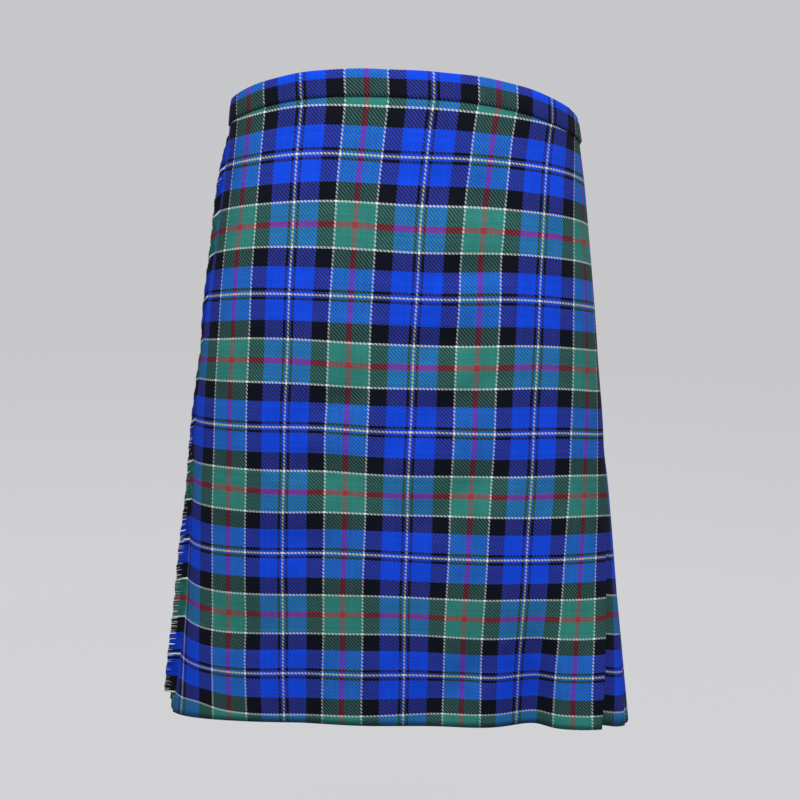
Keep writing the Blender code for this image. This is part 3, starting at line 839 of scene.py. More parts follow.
CLOTH_FINISH = {"cloth": "kilt_twill", "band": "kilt_band_twill"}


def thicken(piece, thickness):
    """Give a cloth surface its thickness, half to each side."""
    wall = piece.modifiers.new("Thickness", "SOLIDIFY")
    wall.thickness = thickness
    wall.offset = 0.0
    wall.use_even_offset = False
    return piece


def woven(name, node, columns, rows, point_of, weft_of, kind="cloth"):
    """Cloth from a grid. A column is (data, warp before, warp after); a row is a drop."""
    work = bmesh.new()
    layer = work.loops.layers.uv.new("Weave")
    wide, tall = len(columns) - 1, len(rows) - 1
    bmesh.ops.create_grid(work, x_segments=wide, y_segments=tall, size=1.0)
    number = {}
    for vert in work.verts:
        number[vert] = (round((vert.co.x + 1.0) * 0.5 * wide), round((1.0 - vert.co.y) * 0.5 * tall))
    thread = {}
    for i, (data, before, after) in enumerate(columns):
        for j, row in enumerate(rows):
            late = after(row)
            thread[i, j] = (late if before is after else before(row), late, weft_of(data, row))
    for face in work.faces:
        first = min(number[vert][0] for vert in face.verts)
        for loop in face.loops:
            i, j = number[loop.vert]
            before, after, weft = thread[i, j]
            loop[layer].uv = (after if i == first else before, weft)
    for vert, (i, j) in number.items():
        vert.co = point_of(columns[i][0], rows[j])
    piece = settle(work, name, CLOTH_FINISH[kind])
    thicken(piece, bpy.context.scene.kilt_weave.cloth_thickness)
    return dress(piece, "tartan_" + kind, node)


def even_rows(count):
    """Drops from the top of the cloth to its hem."""
    return [LENGTH * i / count for i in range(count + 1)]


def fold_turn(steps):
    """Angles of a fold, from the outer layer round to the inner one."""
    return [math.pi * (0.5 - k / steps) for k in range(steps + 1)]


FOLD_RADIUS = 0.5 * STEP
# Drops between which the pleats, sewn flat down to the hip, come loose.
LOOSE_FROM, LOOSE_TO = 150.0, 420.0


def apron_warp(drop, share, beyond=0.0):
    """Warp number on the over-apron and on the cloth turned in beyond its fold."""
    along = apron_along(drop, share)
    return thread_number(WARP, drop, along) + wobble(drop, along) + beyond * THREADS_PER_MM


def apron_weft(drop, share):
    """Weft number on the over-apron, which is pulled up a little at its free corner."""
    along = apron_along(drop, share)
    pull = 4.0 * smooth(560.0, 604.0, drop) * math.exp(-((along + 196.0) / 20.0) ** 2)
    return thread_number(WEFT, drop, along) + wobble(along, drop) + pull


@lru_cache(maxsize=None)
def side_warp(drop):
    """How far the warp of the pleats wanders from one drop to another."""
    return read_table(PLEAT_SHIFTS, drop)[1]


@lru_cache(maxsize=None)
def side_weft(drop):
    """Weft number on the pleats and the under-apron."""
    return apron_weft(drop, 1.0) + read_table(PLEAT_SHIFTS, drop)[0]


class KILT_OT_over_apron(bpy.types.Operator):
    """Make the front panel with its folded edge and deep pleat"""

    bl_idname = "kilt.over_apron"
    bl_label = "Over-Apron"

    def execute(self, context):
        weave = context.scene.kilt_weave
        across = [(("face", i / weave.columns), i / weave.columns, 0.0) for i in range(weave.columns + 1)]
        for angle in fold_turn(6)[1:]:
            across.append((("fold", angle), 1.0, FOLD_RADIUS * (0.5 * math.pi - angle)))
        for k in range(1, 9):
            back = lerp(FOLD_RADIUS, DEEP_PLEAT, k / 8.0)
            across.append((("back", back), 1.0, back + FOLD_RADIUS * math.pi))
        columns = []
        for data, share, beyond in across:
            warp = lambda drop, s=share, b=beyond: apron_warp(drop, s, b)
            columns.append((data, warp, warp))

        def point_of(data, drop):
            kind, value = data
            right, left, _ = apron_reach(drop)
            width = right + left
            if kind == "face":
                share = value * (1.0 - FOLD_RADIUS / width)
                flare = apron_flare(drop, (1.0 - share) * width)
                return place(drop, apron_along(drop, share), apron_out(drop, share), flare=flare)
            if kind == "fold":
                along = left - FOLD_RADIUS + FOLD_RADIUS * math.cos(value)
                out = PLEAT_HIGH - FOLD_RADIUS + FOLD_RADIUS * math.sin(value)
                return place(drop, along, out, flare=apron_flare(drop, left - along))
            return place(drop, left - value, PLEAT_HIGH - STEP, flare=apron_flare(drop, value))

        def weft_of(data, drop):
            return apron_weft(drop, data[1] if data[0] == "face" else 1.0)

        piece = woven("apron_outer", "over_apron", columns, even_rows(weave.rows), point_of, weft_of)
        return {"FINISHED"}


def pleat_columns(first, last):
    """Columns of a length of knife pleats, each a layer, a share across it and its warp numbers.

    A warp number is counted from the pleat's edge, in widths of a pleat, in mm and in threads.
    """
    columns = []

    def add(layer, count, t, widths, mm=0.0, threads=0.0, before=None):
        edge = PLEAT_WARP + PLEAT_WARP_STEP * (count + 1) + threads
        warp = lambda drop: edge + side_warp(drop) + THREADS_PER_MM * (widths * pleat_width(drop) + mm)
        columns.append(((layer, count, t), before or warp, warp))

    for count in range(first, last):
        if count == 0:
            for k in range(5):
                back = DEEP_PLEAT * (1.0 - k / 5.0)
                add("start", count, back, -1.0, mm=-back)
        else:
            before = columns[-1][1] if columns else None
            for angle in reversed(fold_turn(4)):
                add("inner", count, angle, -1.0 - PLEAT_COVER, before=before)
            for k in range(1, 4):
                add("cover", count, k / 4.0, -1.0 - PLEAT_COVER * (1.0 - k / 4.0))
        for k in range(8):
            add("face", count, k / 8.0, k / 8.0 - 1.0)
        for angle in fold_turn(6):
            add("fold", count, angle, 0.0, mm=FOLD_RADIUS * (0.5 * math.pi - angle))
        for k in range(1, 5):
            add("return", count, k / 4.0, PLEAT_COVER * k / 4.0, threads=4.0)
    return columns


def pleat_point(data, drop):
    """Point of a column of the pleats."""
    layer, count, t = data
    width = pleat_width(drop)
    cover = PLEAT_COVER * width
    slope = PLEAT_RISE / (width + cover)
    start, end = pleat_line(drop, count), pleat_line(drop, count + 1)
    low_turn = count + 1.0 - PLEAT_COVER
    if layer == "start":
        under = PLEAT_HIGH - 2.0 * STEP - smooth(LOOSE_FROM, LOOSE_TO, drop)
        return place(drop, start - t, under, flare=apron_flare(drop, t) * smooth(0.0, DEEP_PLEAT, t))
    if layer == "inner":
        along = start - cover + FOLD_RADIUS * (1.0 - math.cos(t))
        out = lerp(PLEAT_LOW, PLEAT_LOW + STEP, 0.5 + 0.5 * math.sin(t))
        return place(drop, along, pleat_out(drop, count - PLEAT_COVER, out))
    if layer == "cover":
        along = lerp(start - cover + FOLD_RADIUS, start, t)
        out = lerp(PLEAT_LOW, PLEAT_LOW + cover * slope, t)
        return place(drop, along, pleat_out(drop, count, out))
    # Each pleat is a little fuller or flatter than the next.
    full = (0.5 + 0.5 * uneven(count)) * smooth(LOOSE_FROM, LOOSE_TO, drop)
    if layer == "face":
        along = lerp(start, end - FOLD_RADIUS, t)
        out = lerp(PLEAT_LOW + cover * slope, PLEAT_HIGH, t)
        bulge = 1.1 * full * math.sin(math.pi * t) ** 2
        return place(drop, along, pleat_out(drop, lerp(count, count + 1, t), out) + bulge)
    if layer == "fold":
        along = end - FOLD_RADIUS + FOLD_RADIUS * math.cos(t)
        out = lerp(PLEAT_HIGH - STEP, PLEAT_HIGH, 0.5 + 0.5 * math.sin(t))
        return place(drop, along, pleat_out(drop, count + 1, out))
    along = lerp(end - FOLD_RADIUS, end - cover + FOLD_RADIUS, t)
    out = lerp(PLEAT_HIGH - STEP, PLEAT_LOW + STEP, t)
    return place(drop, along, pleat_out(drop, lerp(count + 1, low_turn, t), out))


class KILT_OT_pleats(bpy.types.Operator):
    """Make both lengths of knife pleats"""

    bl_idname = "kilt.pleats"
    bl_label = "Pleats"

    def execute(self, context):
        rows = even_rows(int(context.scene.kilt_weave.rows * FEWER_ROWS))
        lengths = (("pleats_left", 0, PLEATS_LEFT, 0.96), ("pleats_right", PLEATS_LEFT, PLEATS, 0.94))
        for node, first, last, flat_width in lengths:
            piece = woven("cloth_" + node, node, pleat_columns(first, last), rows, pleat_point,
                          lambda data, drop: side_weft(drop))
        return {"FINISHED"}


class KILT_OT_under_apron(bpy.types.Operator):
    """Make the inner front panel"""

    bl_idname = "kilt.under_apron"
    bl_label = "Under-Apron"

    def execute(self, context):
        weave = context.scene.kilt_weave
        count = int(weave.columns * 0.55)
        edge = PLEAT_WARP + PLEAT_WARP_STEP * PLEATS
        columns = []
        for k in range(5):
            t = k / 5.0
            warp = lambda drop, t=t: edge - THREADS_PER_MM * PLEAT_COVER * pleat_width(drop) * (1.0 - t)
            columns.append((("cover", t), warp, warp))
        for i in range(count + 1):
            share = i / count
            warp = lambda drop, s=share: edge + THREADS_PER_MM * (
                under_along(drop, s) - under_along(drop, 0.0))
            columns.append((("panel", share), warp, warp))

        def point_of(data, drop):
            kind, t = data
            start = pleat_line(drop, PLEATS)
            if kind == "cover":
                return place(drop, start - PLEAT_COVER * pleat_width(drop) * (1.0 - t), PLEAT_LOW)
            return place(drop, under_along(drop, t), UNDER_OUT)

        piece = woven("apron_inner", "under_apron", columns, even_rows(int(weave.rows * FEWER_ROWS)),
                      point_of, lambda data, drop: side_weft(drop))
        return {"FINISHED"}


# ---------------------------------------------------------------- waistband

BAND_STATIONS = 120
UNDER_BAND_STATIONS = 80
# Reach of the band past the middle of the cloth that it covers.
BAND_REACH = 0.5 * WALL + GAP + BAND_WALL


def band_profile(inner, outer):
    """Line of the band's cloth from its turned-in outer edge over the top to its inner edge.

    Each point is reach, height under the upper edge and distance run from the outer lower edge.
    """
    front = outer - 0.5 * BAND_WALL
    back = inner + 0.5 * BAND_WALL
    turn = 0.5 * (front - back)
    rise = min(turn, 2.2)
    crown = -0.5 * BAND_WALL - rise
    path = [(front - 1.0, -BAND_HEIGHT + 2.4), (front - 0.9, -BAND_HEIGHT + 1.0),
            (front - 0.55, -BAND_HEIGHT + 0.45), (front, -BAND_HEIGHT + 0.9)]
    for k in range(1, 8):
        path.append((front, lerp(-BAND_HEIGHT + 0.9, crown, k / 7.0)))
    for k in range(1, 7):
        angle = math.pi * k / 7.0
        path.append((0.5 * (front + back) + turn * math.cos(angle), crown + rise * math.sin(angle)))
    for k in range(7):
        path.append((back, lerp(crown, -BAND_HEIGHT + 0.5, k / 6.0)))
    run, line = -3.4, []
    for k, point in enumerate(path):
        if k:
            run += math.hypot(point[0] - path[k - 1][0], point[1] - path[k - 1][1])
        line.append((point[0], point[1], run))
    return line


def sewn_band(name, stations, node):
    """Waistband length: a strip of cloth folded over the upper edge of the kilt."""
    profiles = [band_profile(inner, outer) for _, inner, outer, _ in stations]
    columns = [(i, station[3], station[3]) for i, station in enumerate(stations)]

    def point_of(i, k):
        along_of = stations[i][0]
        reach, high, run = profiles[i][k]
        ripple = 0.35 * math.sin(0.115 * along_of(0.0)) * smooth(-BAND_HEIGHT, -6.0, high)
        puff = 0.5 * math.sin(math.pi * min(1.0, max(0.0, run / BAND_HEIGHT))) if k < 12 else 0.0
        drop = min(BAND_HEIGHT, -high)
        return place(drop, along_of(drop), reach + puff, height=high + 0.5 * ripple)

    def weft_of(i, k):
        return BAND_WEFT - THREADS_PER_MM * abs(profiles[i][k][2])

    piece = woven(name, node, columns, list(range(len(profiles[0]))), point_of, weft_of, "band")


def front_stations():
    """Stations of the band's front, which widens where the pleats lie behind it."""
    right, left, _ = apron_reach(0.0)
    stations = []
    for i in range(BAND_STATIONS + 1):
        share = i / BAND_STATIONS
        to_fold = (1.0 - share) * (right + left)
        out = apron_out(0.0, share)
        inside = lerp(out, PLEAT_LOW, smooth(44.0, 34.0, to_fold))
        stations.append((lambda drop, s=share: apron_along(drop, s), inside - BAND_REACH,
                         out + BAND_REACH, lambda row, n=apron_warp(BAND_HEIGHT, share): n))
    return stations


def even_stations(count, along_of, full, low, high, ease):
    """Stations of a band length over one layer, whose warp runs on from the front's folded edge."""
    first = apron_warp(BAND_HEIGHT, 1.0)
    stations = []
    for i in range(count + 1):
        share = full * i / count
        start = ease if i == 0 else 0.0
        run = along_of(0.0, share) - along_of(0.0, 0.0)
        stations.append((lambda drop, s=share, e=start: along_of(drop, s) + e, low - BAND_REACH,
                         high + BAND_REACH, lambda row, n=first + THREADS_PER_MM * run: n))
    return stations


class KILT_OT_waistband(bpy.types.Operator):
    """Make the three lengths of the waistband"""

    bl_idname = "kilt.waistband"
    bl_label = "Waistband"

    def execute(self, context):
        back = even_stations(BAND_STATIONS, pleat_line, PLEATS, PLEAT_LOW, PLEAT_HIGH, 0.02)
        under = even_stations(UNDER_BAND_STATIONS, under_along, 1.0, UNDER_OUT, UNDER_OUT, 0.95 + GAP)
        sewn_band("waistband_front", front_stations(), "band_front")
        sewn_band("waistband_back", back, "band_back")
        sewn_band("waistband_under", under, "band_under")
        return {"FINISHED"}


# ---------------------------------------------------------------- fringe

def on_rows(drop, point_of, count):
    """Point between the two rows of the cloth that a drop lies between."""
    step = LENGTH / count
    i = min(count - 1, int(drop / step))
    return point_of(i * step).lerp(point_of((i + 1) * step), drop / step - i)


def rod(work, sides, knots, caps=True):
    """Tube of unit radius along z with a ring of points at every whole height."""
    bmesh.ops.create_circle(work, segments=sides, radius=1.0)
    edges = list(work.edges)
    for _ in range(knots):
        grown = bmesh.ops.extrude_edge_only(work, edges=edges)["geom"]
        moved = [item for item in grown if isinstance(item, bmesh.types.BMVert)]
        bmesh.ops.translate(work, verts=moved, vec=(0.0, 0.0, 1.0))
        edges = [item for item in grown if isinstance(item, bmesh.types.BMEdge)
                 and all(vert in moved for vert in item.verts)]
    rims = [edge for edge in work.edges if edge.is_boundary]
    if caps:
        bmesh.ops.holes_fill(work, edges=rims, sides=sides)
    else:
        bmesh.ops.bridge_loops(work, edges=rims)


def copy_in_row(work, count):
    """Make a row of copies of a small shape."""
    shape = list(work.verts) + list(work.edges) + list(work.faces)
    bmesh.ops.spin(work, geom=shape, cent=(0, 0, 0), axis=(0, 0, 1), dvec=(COPY_APART, 0.0, 0.0),
                   angle=0.0, steps=count - 1, use_duplicate=True)


def yarn_bend(i, t, pitch):
    """Drop, reach and lift of a yarn of the fringe at a share of its length. Yarns cling in clumps."""
    clump, strand = divmod(i, FRINGE_CLUMP)
    root_drop = FRINGE_FROM + pitch * (i + 0.5)
    middle = FRINGE_FROM + pitch * FRINGE_CLUMP * (clump + 0.5)
    apart = (strand - 0.5 * (FRINGE_CLUMP - 1.0)) * (0.62 - 0.20 * uneven(clump * 2.3))
    end_drop = middle + apart + 0.70 * uneven(clump * 1.7) + 0.3 * uneven(i * 1.3)
    curl = 0.55 * math.sin(5.6 * t + 2.0 * uneven(clump)) * math.sin(math.pi * min(1.0, 1.3 * t))
    drop = (lerp(root_drop, end_drop, smooth(0.1, 0.9, t)) + FRINGE_DROOP * t ** 1.3
            + curl * (0.7 + 0.25 * uneven(i * 0.7)))
    reach = (FRINGE_LENGTH * (1.0 + 0.06 * uneven(clump * 0.9)) + 1.1 * uneven(i * 1.9)) * t - 1.2
    lift = (read_table(FRINGE_LIFTS, root_drop)[0] * t ** 1.1 + 0.6 * uneven(i * 2.9) * t
            + 0.4 * math.sin(5.0 * t + clump))
    return drop, reach, lift


class KILT_OT_fringe(bpy.types.Operator):
    """Make the fringe of loose weft along the free edge"""

    bl_idname = "kilt.fringe"
    bl_label = "Fringe"

    def execute(self, context):
        weave, trim = context.scene.kilt_weave, context.scene.kilt_trim
        count = trim.fringe_threads
        work = bmesh.new()
        layer = work.loops.layers.uv.new("Weave")
        rod(work, 3, FRINGE_KNOTS)
        bmesh.ops.scale(work, vec=(FRINGE_YARN, FRINGE_YARN, 1.0), verts=work.verts)
        bmesh.ops.recalc_face_normals(work, faces=work.faces)
        copy_in_row(work, count)
        pitch = (FRINGE_TO - FRINGE_FROM) / count
        colors = []
        for i in range(count):
            colors.append(math.floor(apron_weft(FRINGE_FROM + pitch * (i + 0.5), 0.0)) + 0.5)
        for vert in work.verts:
            i = round(vert.co.x / COPY_APART)
            side, up, t = vert.co.x - COPY_APART * i, vert.co.y, round(vert.co.z) / FRINGE_KNOTS
            drop, reach, lift = yarn_bend(i, t, pitch)

            def point_of(at, reach=reach, lift=lift, up=up):
                return place(at, -apron_reach(at)[0] - reach, OVER_OUT_EDGE + lift + up)
            vert.index = i
            vert.co = on_rows(min(LENGTH - 2.0, drop + side), point_of, weave.rows)
            vert.normal = (t, 0.0, 0.0)
        for face in work.faces:
            for loop in face.loops:
                loop[layer].uv = (FRINGE_LENGTH * loop.vert.normal.x, colors[loop.vert.index])
        piece = settle(work, "fringe_yarns", "kilt_fringe_yarn")
        dress(piece, "fringe_thread", "fringe")
        return {"FINISHED"}


# ---------------------------------------------------------------- straps and buckles

# Reach of each layer of a fastening, from the band outward.
WIRE_HALF = 0.5 * FRAME_WIRE
TAB_MID = PLEAT_HIGH + BAND_REACH + GAP + 0.5 * TAB_WALL
STRAP_LOW = PLEAT_HIGH + BAND_REACH + GAP + 0.5 * STRAP_WALL
FRAME_OUT = max(TAB_MID + 0.5 * TAB_WALL, STRAP_LOW + 0.5 * STRAP_WALL) + GAP + WIRE_HALF
TAB_TOP = FRAME_OUT + WIRE_HALF + GAP + 0.5 * TAB_WALL
PRONG_OUT = FRAME_OUT + WIRE_HALF + GAP + 0.5 * PRONG_THICK
STRAP_HIGH = max(TAB_TOP + 0.5 * TAB_WALL, PRONG_OUT + 0.5 * PRONG_THICK) + GAP + 0.5 * STRAP_WALL
# Distance of the frame's two ends from the seam at the hip.
HEEL = BUCKLE_AT + 0.5 * FRAME_LONG
NOSE = BUCKLE_AT - 0.5 * FRAME_LONG
SADDLE_PITCH = 2.9
BOX_HALF = 7.4


def hip_frame(turn):
    """Place on the band at a hip: distance from the seam, reach out and height, as a point."""
    def at(distance, out, high):
        drop = 0.5 * BAND_HEIGHT - high
        right, left, _ = apron_reach(drop)
        if turn > 0:
            along = left + distance
        else:
            along = ring(drop).length - right - distance
        return place(drop, along, out, height=-drop)
    return at


def fine_line(coarse, most=1.6):
    """Stations close together along a line of distance and reach, softened, and where its points went."""
    line, marks = [coarse[0]], [0]
    for a, b in zip(coarse, coarse[1:]):
        count = max(1, math.ceil(math.dist(a, b) / most))
        for k in range(1, count + 1):
            line.append((lerp(a[0], b[0], k / count), lerp(a[1], b[1], k / count)))
        marks.append(len(line) - 1)
    for _ in range(3):
        inner = [(0.25 * a[0] + 0.5 * b[0] + 0.25 * c[0], 0.25 * a[1] + 0.5 * b[1] + 0.25 * c[1])
                 for a, b, c in zip(line, line[1:], line[2:])]
        line = [line[0]] + inner + [line[-1]]
    return line, marks


def leather_strip(name, node, coarse, at, wide, wall, slots, pointed=0.0):
    """Leather strap along a line of distance and reach; slots are pairs of the line's points."""
    line, marks = fine_line(coarse)
    half, slot = 0.5 * wide, 0.5 * PRONG_WIDE + GAP
    columns = (-half, -half + 1.2, -half + 3.6, -slot, slot, half - 3.6, half - 1.2, half)
    run = [0.0]
    for a, b in zip(line, line[1:]):
        run.append(run[-1] + math.dist(a, b))
    work = bmesh.new()
    long_way, cross_way = len(line) - 1, len(columns) - 1
    bmesh.ops.create_grid(work, x_segments=long_way, y_segments=cross_way, size=1.0)

    def cell(co):
        return (co.x + 1.0) * 0.5 * long_way, (co.y + 1.0) * 0.5 * cross_way
    gone = []
    for face in work.faces:
        i, c = cell(face.calc_center_median())
        if int(c) == cross_way // 2 and any(marks[a] <= i < marks[b] for a, b in slots):
            gone.append(face)
    bmesh.ops.delete(work, geom=gone, context="FACES")
    for vert in work.verts:
        i, c = cell(vert.co)
        i, c = round(i), round(c)
        left = run[-1] - run[i]
        narrow = 1.0
        if pointed and left < pointed:
            narrow = lerp(0.30, 1.0, math.sin(0.5 * math.pi * left / pointed) ** 0.8)
        vert.co = at(line[i][0], line[i][1], columns[c] * narrow)
    bmesh.ops.recalc_face_normals(work, faces=work.faces)
    piece = settle(work, name, "kilt_strap_leather")
    thicken(piece, wall * MM)
    soft = piece.modifiers.new("Edge", "BEVEL")
    soft.width = 0.00032
    soft.segments = 2
    soft.limit_method = "ANGLE"
    soft.angle_limit = math.radians(50.0)
    dress(piece, "strap_leather", node)
    return piece


def metal_bar(name, node, sides, knots, spot, caps=True):
    """Part of a buckle: a tube set by its knot and its two cross values."""
    work = bmesh.new()
    rod(work, sides, knots, caps)
    for vert in work.verts:
        vert.co = spot(round(vert.co.z), vert.co.x, vert.co.y)
    bmesh.ops.recalc_face_normals(work, faces=work.faces)
    dress(settle(work, name, "kilt_buckle_plate"), "buckle_metal", node)


def buckle_wire(name, node, at):
    """Rounded rectangular frame of round wire."""
    corner, long_half, high_half = 5.0, 0.5 * FRAME_LONG, 0.5 * FRAME_HIGH
    steps = 8
    path = []
    for cx, cz, first in ((1, 1, 0.0), (-1, 1, 90.0), (-1, -1, 180.0), (1, -1, 270.0)):
        for k in range(steps + 1):
            angle = math.radians(first + 90.0 * k / steps)
            path.append((cx * (long_half - corner) + corner * math.cos(angle),
                         cz * (high_half - corner) + corner * math.sin(angle), angle))
        last = path[-1]
        turned = math.radians(first + 90.0)
        for k in range(1, 4):
            run = k / 4.0 * 2.0 * ((long_half if first in (0.0, 180.0) else high_half) - corner)
            path.append((last[0] - run * math.sin(turned), last[1] + run * math.cos(turned), turned))

    def spot(knot, side, up):
        px, pz, angle = path[knot]
        reach = WIRE_HALF * side
        return at(BUCKLE_AT + px + reach * math.cos(angle), FRAME_OUT + WIRE_HALF * up,
                  pz + reach * math.sin(angle))
    metal_bar(name, node, 12, len(path) - 1, spot, caps=False)


def prong_bar(name, node, at):
    """Tongue of the buckle: an oval bar that thins and rests on the frame."""
    knots = 14

    def spot(knot, side, up):
        t = knot / knots
        thin = 1.0 - 0.28 * t - 0.35 * smooth(0.94, 1.0, t) - 0.35 * smooth(0.06, 0.0, t)
        distance = lerp(HEEL + WIRE_HALF, NOSE - WIRE_HALF, t)
        out = PRONG_OUT - 0.25 * smooth(0.8, 1.0, t)
        return at(distance, out + 0.5 * PRONG_THICK * thin * up, 0.5 * PRONG_WIDE * thin * side)
    metal_bar(name, node, 10, knots, spot)


def stitches(name, spans, thick, finish):
    """Short pieces of sewing thread, one between each pair of points."""
    work = bmesh.new()
    bmesh.ops.create_uvsphere(work, u_segments=6, v_segments=5, radius=1.0)
    copy_in_row(work, len(spans))
    poses = []
    for start, end in spans:
        along = end - start
        turn = along.to_track_quat("X", "Z").to_matrix()
        size = Matrix.Diagonal((0.5 * along.length, 0.5 * thick, 0.5 * thick))
        poses.append((0.5 * (start + end), turn @ size))
    for vert in work.verts:
        i = round(vert.co.x / COPY_APART)
        middle, turn = poses[i]
        vert.co = middle + turn @ Vector((vert.co.x - COPY_APART * i, vert.co.y, vert.co.z))
    return settle(work, name, finish)


def strap_line(start):
    """Line of a strap: flat on the band, up through the frame, over it and down to the tip."""
    slot = NOSE + WIRE_HALF
    return [(start, STRAP_LOW), (14.0, STRAP_LOW), (slot + 1.5, STRAP_LOW),
            (slot + 5.5, lerp(STRAP_LOW, STRAP_HIGH, 0.34)), (slot + 10.5, STRAP_HIGH),
            (HEEL + 8.0, STRAP_HIGH), (HEEL + 15.0, STRAP_HIGH - 0.6), (HEEL + 18.0, STRAP_HIGH - 0.8),
            (HEEL + 33.0, STRAP_HIGH - 1.3), (HEEL + 36.0, STRAP_HIGH - 1.4),
            (HEEL + STRAP_TAIL, STRAP_HIGH - 1.8)]


def tab_line():
    """Line of a tab, which folds round the frame's heel and is sewn down on itself."""
    wrap = WIRE_HALF + GAP + 0.5 * TAB_WALL
    turn_in = 0.72 * wrap
    sewn = TAB_MID + TAB_WALL + GAP
    return [(HEEL + TAB_LENGTH, TAB_MID), (HEEL + 2.0, TAB_MID), (HEEL - turn_in, FRAME_OUT - turn_in),
            (HEEL - wrap, FRAME_OUT), (HEEL - turn_in, FRAME_OUT + turn_in), (HEEL + 2.0, TAB_TOP),
            (HEEL + 6.0, TAB_TOP), (HEEL + 12.0, sewn), (HEEL + 22.0, sewn)]


def saddle_rows(start):
    """Rows of saddle stitches: a box at the root of the strap, and two rows along the sewn tab."""
    root, tab_face = STRAP_LOW + 0.5 * STRAP_WALL, TAB_MID + 1.5 * TAB_WALL + GAP
    rows = []
    for high in (-BOX_HALF, BOX_HALF):
        rows.append([(start + 2.0 + SADDLE_PITCH * k, high, root) for k in range(6)])
        rows.append([(HEEL + 12.6 + SADDLE_PITCH * k, high * 0.92, tab_face) for k in range(4)])
    for across in (start + 2.0, start + 2.0 + 5.0 * SADDLE_PITCH):
        rows.append([(across, lerp(-BOX_HALF, BOX_HALF, k / 5.0), root) for k in range(6)])
    return rows


class KILT_OT_fastenings(bpy.types.Operator):
    """Make the straps, tabs, buckles and prongs at both hips"""

    bl_idname = "kilt.fastenings"
    bl_label = "Straps and Buckles"

    def execute(self, context):
        spans = []
        for side, turn, start in (("left", 1, STRAP_START), ("right", -1, APRON_BUTT)):
            at = hip_frame(turn)
            leather_strip("strap_leather_" + side, "strap_" + side, strap_line(start), at, STRAP_WIDTH,
                          STRAP_WALL, ((3, 4), (6, 7), (8, 9)), pointed=11.0)
            leather_strip("tab_leather_" + side, "tab_" + side, tab_line(), at,
                          FRAME_HIGH - 4.0 * FRAME_WIRE, TAB_WALL, ((1, 5),))
            buckle_wire("buckle_frame_" + side, "buckle_" + side, at)
            prong_bar("buckle_prong_" + side, "prong_" + side, at)
            for row in saddle_rows(start):
                for a, b in zip(row, row[1:]):
                    begin = at(lerp(a[0], b[0], 0.12), a[2], lerp(a[1], b[1], 0.12))
                    finish = at(lerp(a[0], b[0], 0.88), b[2], lerp(a[1], b[1], 0.88))
                    spans.append((begin, finish))
        piece = stitches("saddle_stitches", spans, 0.62, "kilt_saddle_stitch")
        dress(piece, "strap_leather")
        return {"FINISHED"}


PLEAT_STITCHES = 25
FRONT_BAND_STITCHES = 86
BACK_BAND_STITCHES = 84


class KILT_OT_stitching(bpy.types.Operator):
    """Sew the pleats down to the hip and the waistband to the cloth with blind stitches"""

    bl_idname = "kilt.stitching"
    bl_label = "Stitching"

    def execute(self, context):
        spans = []
        for count in range(PLEATS - 1):
            for k in range(PLEAT_STITCHES):
                drop = 30.0 + 6.0 * k + 0.8 * uneven(count * 31 + k)
                begin = pleat_point(("fold", count, -0.3), drop)
                finish = pleat_point(("face", count + 1, 0.05), drop + 1.5)
                outward = Vector((finish.x, finish.y, 0.0)).normalized()
                spans.append((begin, finish + outward * 0.55))
        edges = []
        for k in range(FRONT_BAND_STITCHES):
            share = (k + 0.5) / FRONT_BAND_STITCHES
            edges.append((apron_along(BAND_HEIGHT, share), apron_out(0.0, share)))
        for k in range(BACK_BAND_STITCHES):
            edges.append((pleat_line(BAND_HEIGHT, PLEATS * (k + 0.5) / BACK_BAND_STITCHES), PLEAT_HIGH))
        for along, out in edges:
            begin = place(BAND_HEIGHT, along, out + 0.5 * WALL + GAP + 0.3, height=-BAND_HEIGHT + 0.9)
            finish = place(BAND_HEIGHT, along + 0.9, out + 0.5 * WALL, height=-BAND_HEIGHT - 1.1)
            spans.append((begin, finish))
        piece = stitches("blind_stitches", spans, 0.34, "kilt_blind_stitch")
        dress(piece, "tartan_cloth")
        return {"FINISHED"}


# ---------------------------------------------------------------- studio

def paper_room(low):
    """Floor of paper that curves up into a round wall."""
    profile = [(0.0, low), (FLOOR_REACH, low)]
    for k in range(1, CORNER_STEPS + 1):
        angle = 0.5 * math.pi * k / CORNER_STEPS
        profile.append((FLOOR_REACH + CORNER_RADIUS * math.sin(angle),
                        low + CORNER_RADIUS * (1.0 - math.cos(angle))))
    profile.append((FLOOR_REACH + CORNER_RADIUS, WALL_TOP))
    work = bmesh.new()
    points = [work.verts.new((reach, 0.0, high)) for reach, high in profile]
    for a, b in zip(points, points[1:]):
        work.edges.new((a, b))
    bmesh.ops.spin(work, geom=list(work.verts) + list(work.edges), cent=(0, 0, 0), axis=(0, 0, 1),
                   angle=2.0 * math.pi, steps=96, use_merge=True)
    bmesh.ops.remove_doubles(work, verts=work.verts, dist=0.0005)
    bmesh.ops.recalc_face_normals(work, faces=work.faces)
    if max(work.faces, key=lambda f: -f.calc_center_median().length).normal.z < 0.0:
        bmesh.ops.reverse_faces(work, faces=work.faces)
    backdrop = settle(work, "backdrop", "studio_paper", unit=1.0)
    # The lit paper stays out of the light on the cloth, so that its soft folds read.
    backdrop.visible_diffuse = False


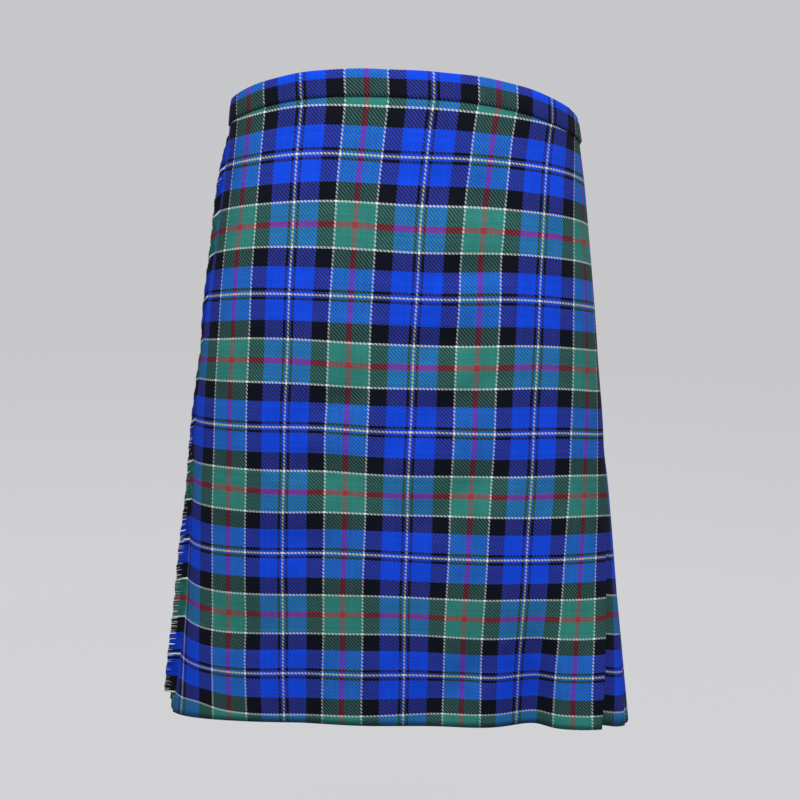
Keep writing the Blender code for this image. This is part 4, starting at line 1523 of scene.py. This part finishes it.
def studio_lights(scene):
    """Even air, four broad lights and a soft box above the front."""
    world = bpy.data.worlds.new("studio_air")
    world.use_nodes = True
    air = world.node_tree.nodes["Background"]
    air.inputs["Color"].default_value = (0.96, 0.98, 1.0, 1.0)
    air.inputs["Strength"].default_value = 0.20
    scene.world = world
    for name, toward, strength, spread in SUNS:
        light = bpy.data.lights.new(name, "SUN")
        light.energy = strength
        light.angle = math.radians(spread)
        link(name, light).rotation_euler = Vector(toward).to_track_quat("Z", "Y").to_euler()
    soft = bpy.data.lights.new("top_front_light", "AREA")
    soft.shape = "RECTANGLE"
    soft.size, soft.size_y = 1.2, 0.5
    soft.energy = 13.0
    soft.color = (1.0, 0.985, 0.96)
    lamp = link("top_front_light", soft)
    lamp.location = SOFT_BOX_AT
    lamp.rotation_euler = (Vector(SOFT_BOX_AT) - Vector(SOFT_BOX_AIM)).to_track_quat("Z", "Y").to_euler()


def studio_camera(scene):
    """Camera where the photo's was, as its outline and its lines tell."""
    view = bpy.data.cameras.new("camera")
    view.sensor_width = 36.0
    view.lens = scene.kilt_studio.lens
    camera = link("camera", view)
    camera.location = CAMERA_AT
    level = Matrix.Rotation(math.radians(90.0 - CAMERA_TILT), 4, "X")
    camera.rotation_euler = (level @ Matrix.Rotation(math.radians(CAMERA_ROLL), 4, "Z")).to_euler()
    scene.camera = camera
    scene.view_settings.view_transform = "Standard"


class KILT_OT_studio(bpy.types.Operator):
    """Make the plain backdrop, the lights and the camera"""

    bl_idname = "kilt.studio"
    bl_label = "Studio"

    def execute(self, context):
        paper_room(context.scene.kilt_studio.floor_drop)
        studio_lights(context.scene)
        studio_camera(context.scene)
        return {"FINISHED"}


class KILT_PT_sidebar(bpy.types.Panel):
    """Sizes, colours and steps of the kilt"""

    bl_idname = "KILT_PT_sidebar"
    bl_label = "Wrap Kilt"
    bl_space_type = "VIEW_3D"
    bl_region_type = "UI"
    bl_category = "Kilt"

    def draw(self, context):
        for group in (context.scene.kilt_weave, context.scene.kilt_trim, context.scene.kilt_studio):
            box = self.layout.box()
            for name in group.__annotations__:
                box.prop(group, name)
        for step in STEPS:
            self.layout.operator(step.bl_idname)


STEPS = (KILT_OT_studio, KILT_OT_fringe, KILT_OT_over_apron, KILT_OT_pleats, KILT_OT_under_apron,
         KILT_OT_waistband, KILT_OT_fastenings, KILT_OT_stitching)
CLASSES = (KiltWeave, KiltTrim, KiltStudio) + STEPS + (KILT_PT_sidebar,)


def register():
    """Add the kilt's settings and steps to Blender."""
    for item in CLASSES:
        bpy.utils.register_class(item)
    bpy.types.Scene.kilt_weave = PointerProperty(type=KiltWeave)
    bpy.types.Scene.kilt_trim = PointerProperty(type=KiltTrim)
    bpy.types.Scene.kilt_studio = PointerProperty(type=KiltStudio)


def unregister():
    """Take the kilt's settings and steps out of Blender."""
    del bpy.types.Scene.kilt_studio
    del bpy.types.Scene.kilt_trim
    del bpy.types.Scene.kilt_weave
    for item in reversed(CLASSES):
        bpy.utils.unregister_class(item)


def main():
    """Dress the whole kilt."""
    register()
    bpy.ops.kilt.studio()
    bpy.ops.kilt.fringe()
    bpy.ops.kilt.over_apron()
    bpy.ops.kilt.pleats()
    bpy.ops.kilt.under_apron()
    bpy.ops.kilt.waistband()
    bpy.ops.kilt.fastenings()
    bpy.ops.kilt.stitching()


if __name__ == "__main__":
    main()
